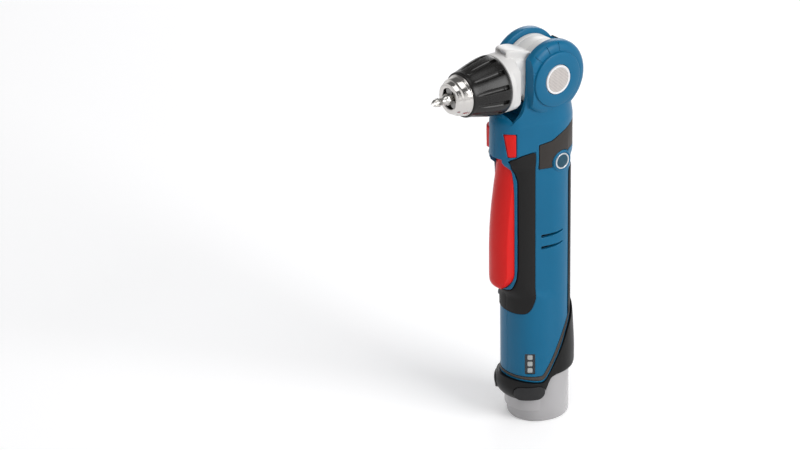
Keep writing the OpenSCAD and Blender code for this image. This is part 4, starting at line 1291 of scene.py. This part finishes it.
@dataclass
class Trigger:
    """The long paddle trigger."""

    half: float = 9.0
    back: float = 22.7
    # How far forward its middle stands at each height.
    front: Line = ((96.5, 30.5), (97.2, 33.0), (98.4, 34.3), (100.4, 35.2), (103, 35.4), (112, 35.4), (125, 35.3),
                   (136, 34.9), (145, 34.2), (154, 33.2), (163.5, 31.8), (173, 30.3), (182, 29.4), (187, 28.8))

    @classmethod
    def face(cls, by: float) -> list[Point]:
        """The trigger's front view, grown.

        Args:
            by: how far it is grown.

        Returns:
            The closed outline.
        """
        t, low = cls.half + by, 95.0 - by
        half = [(t - 7.4, low + 1.4), (t - 5.6, low + 2.3), (t - 4.1, low + 3.6), (t - 2.6, low + 5.4),
                (t - 1.4, low + 7.3), (t - 0.5, low + 9.7), (t, low + 12.6), (t, 150), (t - 0.1, 162), (t - 0.4, 170),
                (t - 1.2, 177), (t - 2.6, 182), (t - 3.6, 186), (t - 3.8, 192)]
        return half + mirrored(half)

    @classmethod
    def mouth(cls, by: float = 0.0) -> Solid:
        """The opening that the trigger swings in.

        Args:
            by: how far it is grown.

        Returns:
            The solid to cut away.
        """
        side = [(14.6, 95.9), (60, 95.9), (60, 187.2), (25, 187.2), (25, 174), (18.6, 162), (14.6, 120)]
        return Bench.keep(Bench.across("mouth", grown(side, by), 30),
                          Bench.outline("face", cls.face(0.35 + by), View.FRONT, 0, 70))

    def build(self) -> None:
        """Makes the trigger."""
        t, back = self.half, self.back
        rings = []
        for i in range(91):
            z = 96.6 + i
            f, bow = reading(self.front, z), 13.4 - 1.4 * min(1.0, max(0.0, (z - 130) / 50))
            front = [(f - bow + math.sqrt(bow * bow - y * y), y) for y in (-t + t * k / 12 for k in range(25))]
            rings.append([(x, y, z) for x, y in [*front, (back, t), (back, -t)]])
        trigger = Bench.loft("paddle", rings)
        Bench.keep(trigger, Bench.outline("face", self.face(0), View.FRONT, 0, 70))
        side = [(25.8, 186.6), (60, 186.6), (60, 96.5), (28, 96.5), (back, 97.9), (back, 160), (25.8, 172)]
        Bench.keep(trigger, Bench.across("side", side, t + 1))
        Bench.cut(trigger, Bench.across("hollow", oblong(20, 102, 26.4, 150), 6.9))
        Bench.piece(Bench.ease(trigger, 0.6, 3, 25), RED, "trigger", "trigger")


@dataclass
class DirectionSwitch:
    """The slide switch above the trigger."""

    outline: Line = ((27, 189.3), (30.9, 189.3), (32.4, 204.3), (27, 204.3))

    def build(self) -> None:
        """Makes the switch."""
        switch = Bench.across("slide_switch", rounded(self.outline, 0.9), 20)
        Bench.keep(switch, Bench.handle("skin", HANDLE, 180, 207, 0.8))
        switch.data.transform(Matrix.Translation((0, -1.2 * MM, 0)))
        Bench.piece(Bench.ease(switch, 0.4, 3), RED, "direction_switch", "direction_switch")


@dataclass
class Head:
    """The cast gear head: drum, neck, collar and lamp lug."""

    drum_r: float = 20.7
    drum_half: float = 9.7
    collar_r: float = 18.4
    collar_half: float = 14.5
    lamp_up: float = 19.6

    @staticmethod
    def section(x: float, wide: float, low: float, high: float, power: float) -> list[Spot]:
        """A rounded section across the neck.

        Args:
            x: its place along the chuck's axis.
            wide: its half width.
            low, high: its bottom and top from the axis.
            power: 2 for an oval, and more for a squarer shape.

        Returns:
            The ring.
        """
        ring = []
        for i in range(72):
            a = math.radians(5 * i)
            c, s = math.cos(a), math.sin(a)
            y = wide * math.copysign(abs(c) ** (2 / power), c)
            z = (high + low) / 2 + (high - low) / 2 * math.copysign(abs(s) ** (2 / power), s)
            ring.append((x, y, PIVOT + z))
        return ring

    def lamp(self, name: str, reach: float, radius: float, start: float, end: float) -> Solid:
        """An oval block at the lamp, between two places along the chuck's axis."""
        shape = [(y, z + PIVOT + self.lamp_up) for y, z in oval(reach, radius, 10)]
        return Bench.outline(name, shape, View.FRONT, start, end)

    def build(self) -> None:
        """Makes the casting and its lamp."""
        r, h = self.drum_r, self.drum_half
        dip = 0.4
        drum = Bench.turned("gear_head", [(0, -h), (r - 0.5, -h), (r, 0.5 - h), (r, -6.2), (r - dip, -6.0),
                                          (r - dip, -5.7), (r, -5.5), (r, 2.0), (r - dip, 2.2), (r - dip, 2.5),
                                          (r, 2.7), (r, h - 0.5), (r - 0.5, h), (0, h)], Axis.Y, 144)
        neck = [self.section(*row) for row in (
            (2, 9.6, -9, 15, 6), (12, 9.6, -9.3, 15.6, 6), (17, 9.7, -9.6, 16.4, 6), (20, 9.7, -10.6, 16.8, 5.5),
            (22, 9.7, -12, 17.0, 5), (23.7, 9.7, -14, 17.2, 4), (24.5, 11.9, -15.6, 17.4, 3),
            (25.2, 13.5, -16.8, 17.7, 2.6), (26, 14.3, -17.6, 17.9, 2.3), (27, 14.5, -18.0, 18.0, 2.1))]
        lug = [self.section(*row) for row in (
            (9, 9.2, 8, 16.6, 9), (13, 9.0, 10, 17.9, 9), (17.4, 8.4, 12, 19.8, 8), (21, 7.6, 13, 20.8, 8),
            (24.5, 6.7, 14, 21.6, 7), (26.8, 6.1, 14, 22.0, 7), (28.4, 5.7, 14.4, 21.8, 6), (29.0, 5.3, 14.8, 21.3, 6))]
        c, w = self.collar_r, self.collar_half
        collar = Bench.turned("collar", [(0, 25.2), (c - 1.2, 25.2), (c - 0.5, 25.6), (c, 26.4), (c, 32), (0, 32)],
                              Axis.X, 144)
        Bench.keep(collar, Bench.outline("flats", lifted(oblong(-w, -30, w, 30), PIVOT), View.FRONT, 20, 40))
        ring = Bench.turned("ring", [(0, 31), (c - 0.2, 31), (c, 31.3), (c, 33.5), (c - 0.25, 34.1), (c - 0.8, 34.4),
                                     (0, 34.4)], Axis.X, 144)
        Bench.join(drum, Bench.loft("neck", neck), Bench.loft("lug", lug), collar, ring)
        for side in (1, -1):
            Bench.join(drum, Bench.turned("trunnion", rod(8, side * 9, side * 14.7), Axis.Y, 64))
        Bench.cut(drum, Bench.turned("room", rod(16.7, -8.2, 8.2), Axis.Y, 96),
                  Bench.turned("bore", [(0, 10), (5.6, 10), (5.6, 26), (11.02, 26), (11.02, 40), (0, 40)], Axis.X, 96),
                  Bench.turned("seat", rod(8.05, 14.7, 20.1), Axis.X, 96),
                  Bench.across("slot", [(0, PIVOT), *lifted(arc(0, 0, 24, 162, 288, 24), PIVOT)], 5),
                  self.lamp("lamp_slot", 3.2, 1.35, 25.6, 40))
        Bench.piece(Bench.ease(drum, 0.22, 2, 40), CASTING, "head", "head_housing")
        lens = self.lamp("lamp_lens", 1.4, 1.0, 25.4, 27.4)
        Bench.piece(Bench.ease(lens, 0.25, 3), LENS, "head", "led_lens")


@dataclass
class Chuck:
    """The keyless chuck: fluted sleeve, polished body and the two-ended bit."""

    sleeve_r: float = 18.7
    front_r: float = 14.0
    flutes: int = 12
    flute_r: float = 2.0
    hexagon: float = 6.35  # a quarter inch bit, across its flats
    # The sleeve's radius at places along its axis.
    skin: Line = ((37.4, 18.7), (41, 18.3), (46.5, 17.2), (52, 15.9), (57, 14.6), (61, 14.0))

    def sleeve(self) -> None:
        """Makes the fluted sleeve."""
        r, f = self.sleeve_r, self.front_r
        outside = [(11, 35), (r - 0.8, 35), (r - 0.25, 35.25), (r, 35.9), (r, 37.4)]
        outside += [(b, a) for a, b in curved([(37.4, r), (41, r - 0.4), (46.5, r - 1.5), (52, r - 2.8), (57, f + 0.6),
                                               (59.9, f + 0.15)], 4)][1:]
        outside += [(f - 0.1, 60.3), (f - 0.45, 60.5), (13.3, 60.5), (13.3, 52.5), (15.9, 44.2), (15.9, 36.6),
                    (11, 36.6)]
        sleeve = Bench.turned("grip_sleeve", outside, Axis.X, 192)
        rings = []
        for i in range(15):
            x = 37.9 + 1.4 * i
            centre_r = reading(self.skin, x) + 1.05 + max(0.0, x - 51) * 0.12
            rings.append([(x, self.flute_r * math.cos(a), PIVOT + centre_r + self.flute_r * math.sin(a))
                          for a in (math.tau * k / 24 for k in range(24))])
        flute = Bench.loft("flute", rings)
        notch = Bench.outline("notch", rounded(oblong(-1.5, 0, 1.5, 6), 0.5), View.FRONT, 36.7, 40.6)
        notch.data.transform(Matrix.Translation((0, 0, (PIVOT + r - 2.2) * MM)))
        centre = Matrix.Translation((0, 0, PIVOT * MM))
        for i in range(self.flutes):
            turn = centre @ Matrix.Rotation(math.tau * (i + 0.5) / self.flutes, 4, "X") @ centre.inverted()
            Bench.cut(sleeve, Bench.copy(flute, "cutter", turn), Bench.copy(notch, "cutter", turn))
        for tool in (flute, notch):
            bpy.data.objects.remove(tool)
        Bench.piece(Bench.ease(sleeve, 0.22, 2, 28), SLEEVE, "sleeve", "chuck_sleeve")

    def body(self) -> None:
        """Makes the polished body with its jaw slots."""
        b = self.front_r - 1
        profile = [(0, 35.2), (9.5, 35.2), (9.5, 48), (b, 50), (b, 60.6), (b - 0.15, 61.0), (b - 0.5, 61.3),
                   (b - 0.55, 62.1), (b - 0.9, 62.3), (b - 1.4, 65.5), (b - 1.7, 66.0), (b - 2.6, 66.5),
                   (b - 2.8, 66.9), (b - 3.1, 68.4), (b - 3.4, 69.1), (b - 4.2, 69.5), (b - 5.6, 69.5),
                   (b - 6.2, 69.3), (b - 6.5, 68.9), (b - 6.7, 68.3), (6.2, 63.5), (5.4, 62.6), (3.9, 62.2),
                   (3.9, 40), (0, 40)]
        body = Bench.turned("chuck_nose", profile, Axis.X, 144)
        tilt, rho = 14, self.hexagon / 2 + 1.6
        for i in range(3):
            jaw = Bench.turned("jaw", rod(2.66, -6, 36), Axis.Z, 48, (0, 0, 0))
            move = (Matrix.Translation((0, 0, PIVOT * MM)) @ Matrix.Rotation(math.radians(120 * i), 4, "X")
                    @ Matrix.Translation((69 * MM, 0, rho * MM)) @ Matrix.Rotation(math.radians(tilt - 90), 4, "Y"))
            jaw.data.transform(move)
            Bench.cut(body, jaw)
        Bench.piece(Bench.ease(body, 0.12, 2, 40), CHROME, "output", "chuck_body")

    def bit(self) -> None:
        """Makes the hexagon bit with its crossed tip."""
        tip = 82.5
        corner = self.hexagon / 2 / math.cos(math.radians(30))
        sides = [(corner * math.cos(math.radians(60 * i)), PIVOT + corner * math.sin(math.radians(60 * i)))
                 for i in range(6)]
        bit = Bench.outline("cross_bit", sides, View.FRONT, 47.2, tip - 11)
        Bench.ease(bit, 0.3)
        neck = [(r, tip - back) for r, back in (
            (0, 12.5), (3.1, 12.5), (3.1, 11), (2.9, 10), (2.35, 9), (2.25, 7.6), (2.4, 6.4), (2.9, 5), (2.95, 4.2),
            (2.7, 3.2), (1.0, 0.45), (0.5, 0), (0, 0))]
        Bench.join(bit, Bench.turned("neck", neck, Axis.X, 64))
        for i in range(4):
            groove = Bench.turned("groove", [(0, 0), (1.5, 0), (1.7, 9), (0, 9)], Axis.X, 32, (0, 0, 0))
            turn = math.radians(90 * i + 20)
            out = Matrix.Translation(((tip - 5.4) * MM, 0, 2.9 * MM)) @ Matrix.Rotation(math.radians(9), 4, "Y")
            groove.data.transform(Matrix.Translation((0, 0, PIVOT * MM)) @ Matrix.Rotation(turn, 4, "X") @ out)
            Bench.cut(bit, groove)
        Bench.piece(Bench.ease(bit, 0.1), BIT_STEEL, "bit", "bit")

    def build(self) -> None:
        """Makes the chuck."""
        self.sleeve()
        self.body()
        self.bit()


@dataclass
class Battery:
    """The slide-in battery: a stem inside the handle on a rounded foot."""

    height: float = 76.0
    foot: Egg = Egg(19.3, -0.8, 18.5, 1.5)

    def build(self) -> None:
        """Makes the battery's case."""
        case = Bench.handle("battery", [(0, self.foot), (40, self.foot)], 2.6, 36, 0, 2)
        rings = [self.foot.grow(g).ring(z)
                 for z, g in ((0, -1.7), (0.15, -1.1), (0.45, -0.65), (0.9, -0.35), (1.6, -0.1), (2.7, 0))]
        Bench.join(case, Bench.loft("foot", rings))
        Bench.keep(case, Bench.across("shape", [*lifted(FOOT_EDGE, -0.3), (-30, -5), (40, -5)]))
        stem = Bench.handle("stem", [(0, LOW), (90, LOW)], 8, self.height, -2.5, 20)
        Bench.join(case, Bench.ease(stem, 0.8, 3))
        for y in (-6, 0, 6):
            Bench.cut(case, Bench.outline("slit", oblong(-4.6, y - 0.9, 4.6, y + 0.9), View.PLAN, 70, 80))
        Bench.piece(Bench.ease(case, 0.25), GREY, "battery", "battery_case")


@dataclass
class Studio:
    """The camera, the lamps, the pale floor and the white backdrop."""

    distance: float = 2.0
    lens: float = 146.9
    aim: Point = (-0.08433, -0.09508)

    def camera(self) -> None:
        """Sets the camera at the photograph's angle."""
        bpy.ops.object.camera_add()
        cam = bpy.context.active_object
        cam.name = "camera"
        away = Vector((0.5867, 0.7067, 0.3955)).normalized()
        hinge = Vector((0, 0, PIVOT * MM))
        cam.location = hinge + away * self.distance
        square = away.to_track_quat("Z", "Y")
        middle = hinge + square @ Vector((self.aim[0], self.aim[1], 0))
        turn = (-away).rotation_difference((middle - cam.location).normalized())
        cam.rotation_euler = (turn @ square).to_euler()
        cam.data.lens = self.lens
        cam.data.sensor_width = 36
        bpy.context.scene.camera = cam

    def lamp(self, name: str, place: Spot, size: float, power: float) -> None:
        """Adds a soft lamp that points at the middle of the drill.

        Args:
            name: its name.
            place: where it stands, in metres.
            size: its width in metres.
            power: its power in watts.
        """
        bpy.ops.object.light_add(type="AREA", location=place)
        lamp = bpy.context.active_object
        lamp.name = name
        lamp.rotation_euler = (Vector(place) - Vector((0, 0, 0.15))).to_track_quat("Z", "Y").to_euler()
        lamp.data.size = size
        lamp.data.energy = power

    def white(self, name: str, colour: Colour, world: bool) -> None:
        """Gives the floor or the world a white that only the camera and mirrors see.

        Args:
            name: the name of the floor's material or of the world.
            colour: what lights the object.
            world: whether this is the world.
        """
        tree = (bpy.data.worlds if world else bpy.data.materials)[name].node_tree
        tree.nodes.clear()
        g = Graph(tree)
        path = tree.nodes.new("ShaderNodeLightPath")
        seen = Wire(tree, path.outputs["Is Camera Ray"])
        mirrored_in = Wire(tree, path.outputs["Is Glossy Ray"]) + Wire(tree, path.outputs["Is Transmission Ray"])
        if world:
            up = g.parts(g.node("ShaderNodeTexCoord"))[2]
            ceiling = 1.0 - up.step(0.1, 0.6) * 0.85
            mirrored_sky = g.mix(ceiling, (0.0, 0.0, 0.0), (1, 1, 1))
            shade = g.mix(seen, g.mix(mirrored_in.math("MINIMUM", 1.0), colour, mirrored_sky), (1, 1, 1))
            back = g.node("ShaderNodeBackground", shade, 1.0)
            out = tree.nodes.new("ShaderNodeOutputWorld")
        else:
            glow = g.node("ShaderNodeEmission", (1, 1, 1, 1), 0.26)
            paper = g.node("ShaderNodeBsdfDiffuse", (*colour, 1), 0.5)
            none = g.node("ShaderNodeEmission", (0, 0, 0, 1), 0.0)
            lift = g.node("ShaderNodeMixShader", (seen + mirrored_in).math("MINIMUM", 1.0), none, glow)
            back = g.node("ShaderNodeAddShader", paper, lift)
            out = tree.nodes.new("ShaderNodeOutputMaterial")
        tree.links.new(back.socket, out.inputs["Surface"])

    def build(self) -> None:
        """Builds the studio."""
        scene = bpy.context.scene
        scene.view_settings.view_transform = "Standard"
        self.camera()
        world = bpy.data.worlds.new("studio")
        world.use_nodes = True
        scene.world = world
        self.white("studio", (0.34, 0.34, 0.35), True)
        Bench.clear()
        bpy.ops.mesh.primitive_plane_add(size=1)
        floor = Bench.named("floor")
        Bench.place(floor, [(-3000, -3000, 0), (3000, -3000, 0), (-3000, 3000, 0), (3000, 3000, 0)])
        mat = bpy.data.materials.new("floor_paper")
        mat.use_nodes = True
        self.white("floor_paper", (0.86, 0.86, 0.86), False)
        floor.data.materials.append(mat)
        self.lamp("key", (-0.45, 1.35, 0.85), 0.9, 16)
        self.lamp("fill", (1.5, 0.45, 0.6), 1.1, 1.6)
        self.lamp("top", (0.2, 0.2, 1.7), 1.0, 6)
        self.lamp("back", (-1.1, -0.9, 0.9), 0.8, 8)


def dress_inner() -> None:
    """Gives every CAD node that stays in view its slot's finish."""
    slots = {s["node"]: s["material_slot"] for s in frame["record"]["subparts"]}
    for name, node in frame["nodes"].items():
        finish = JAW if name.startswith("jaw") else FINISHES[slots[name]]
        node.data.materials.clear()
        node.data.materials.append(finish.material())


def main() -> None:
    """Builds the studio and every sub-assembly."""
    logging.basicConfig(level=logging.INFO, format="%(name)s: %(message)s")
    Studio().build()
    dress_inner()
    for part in (Shell(), Grips(), RearStrip(), PanelStrip(), Badge(), Tail(), BatteryButton(), Gauge(), Screws(),
                 Hinge(), Trigger(), DirectionSwitch(), Head(), Chuck(), Battery()):
        part.build()
        log.info("%s done", type(part).__name__)


if __name__ == "__main__":
    main()
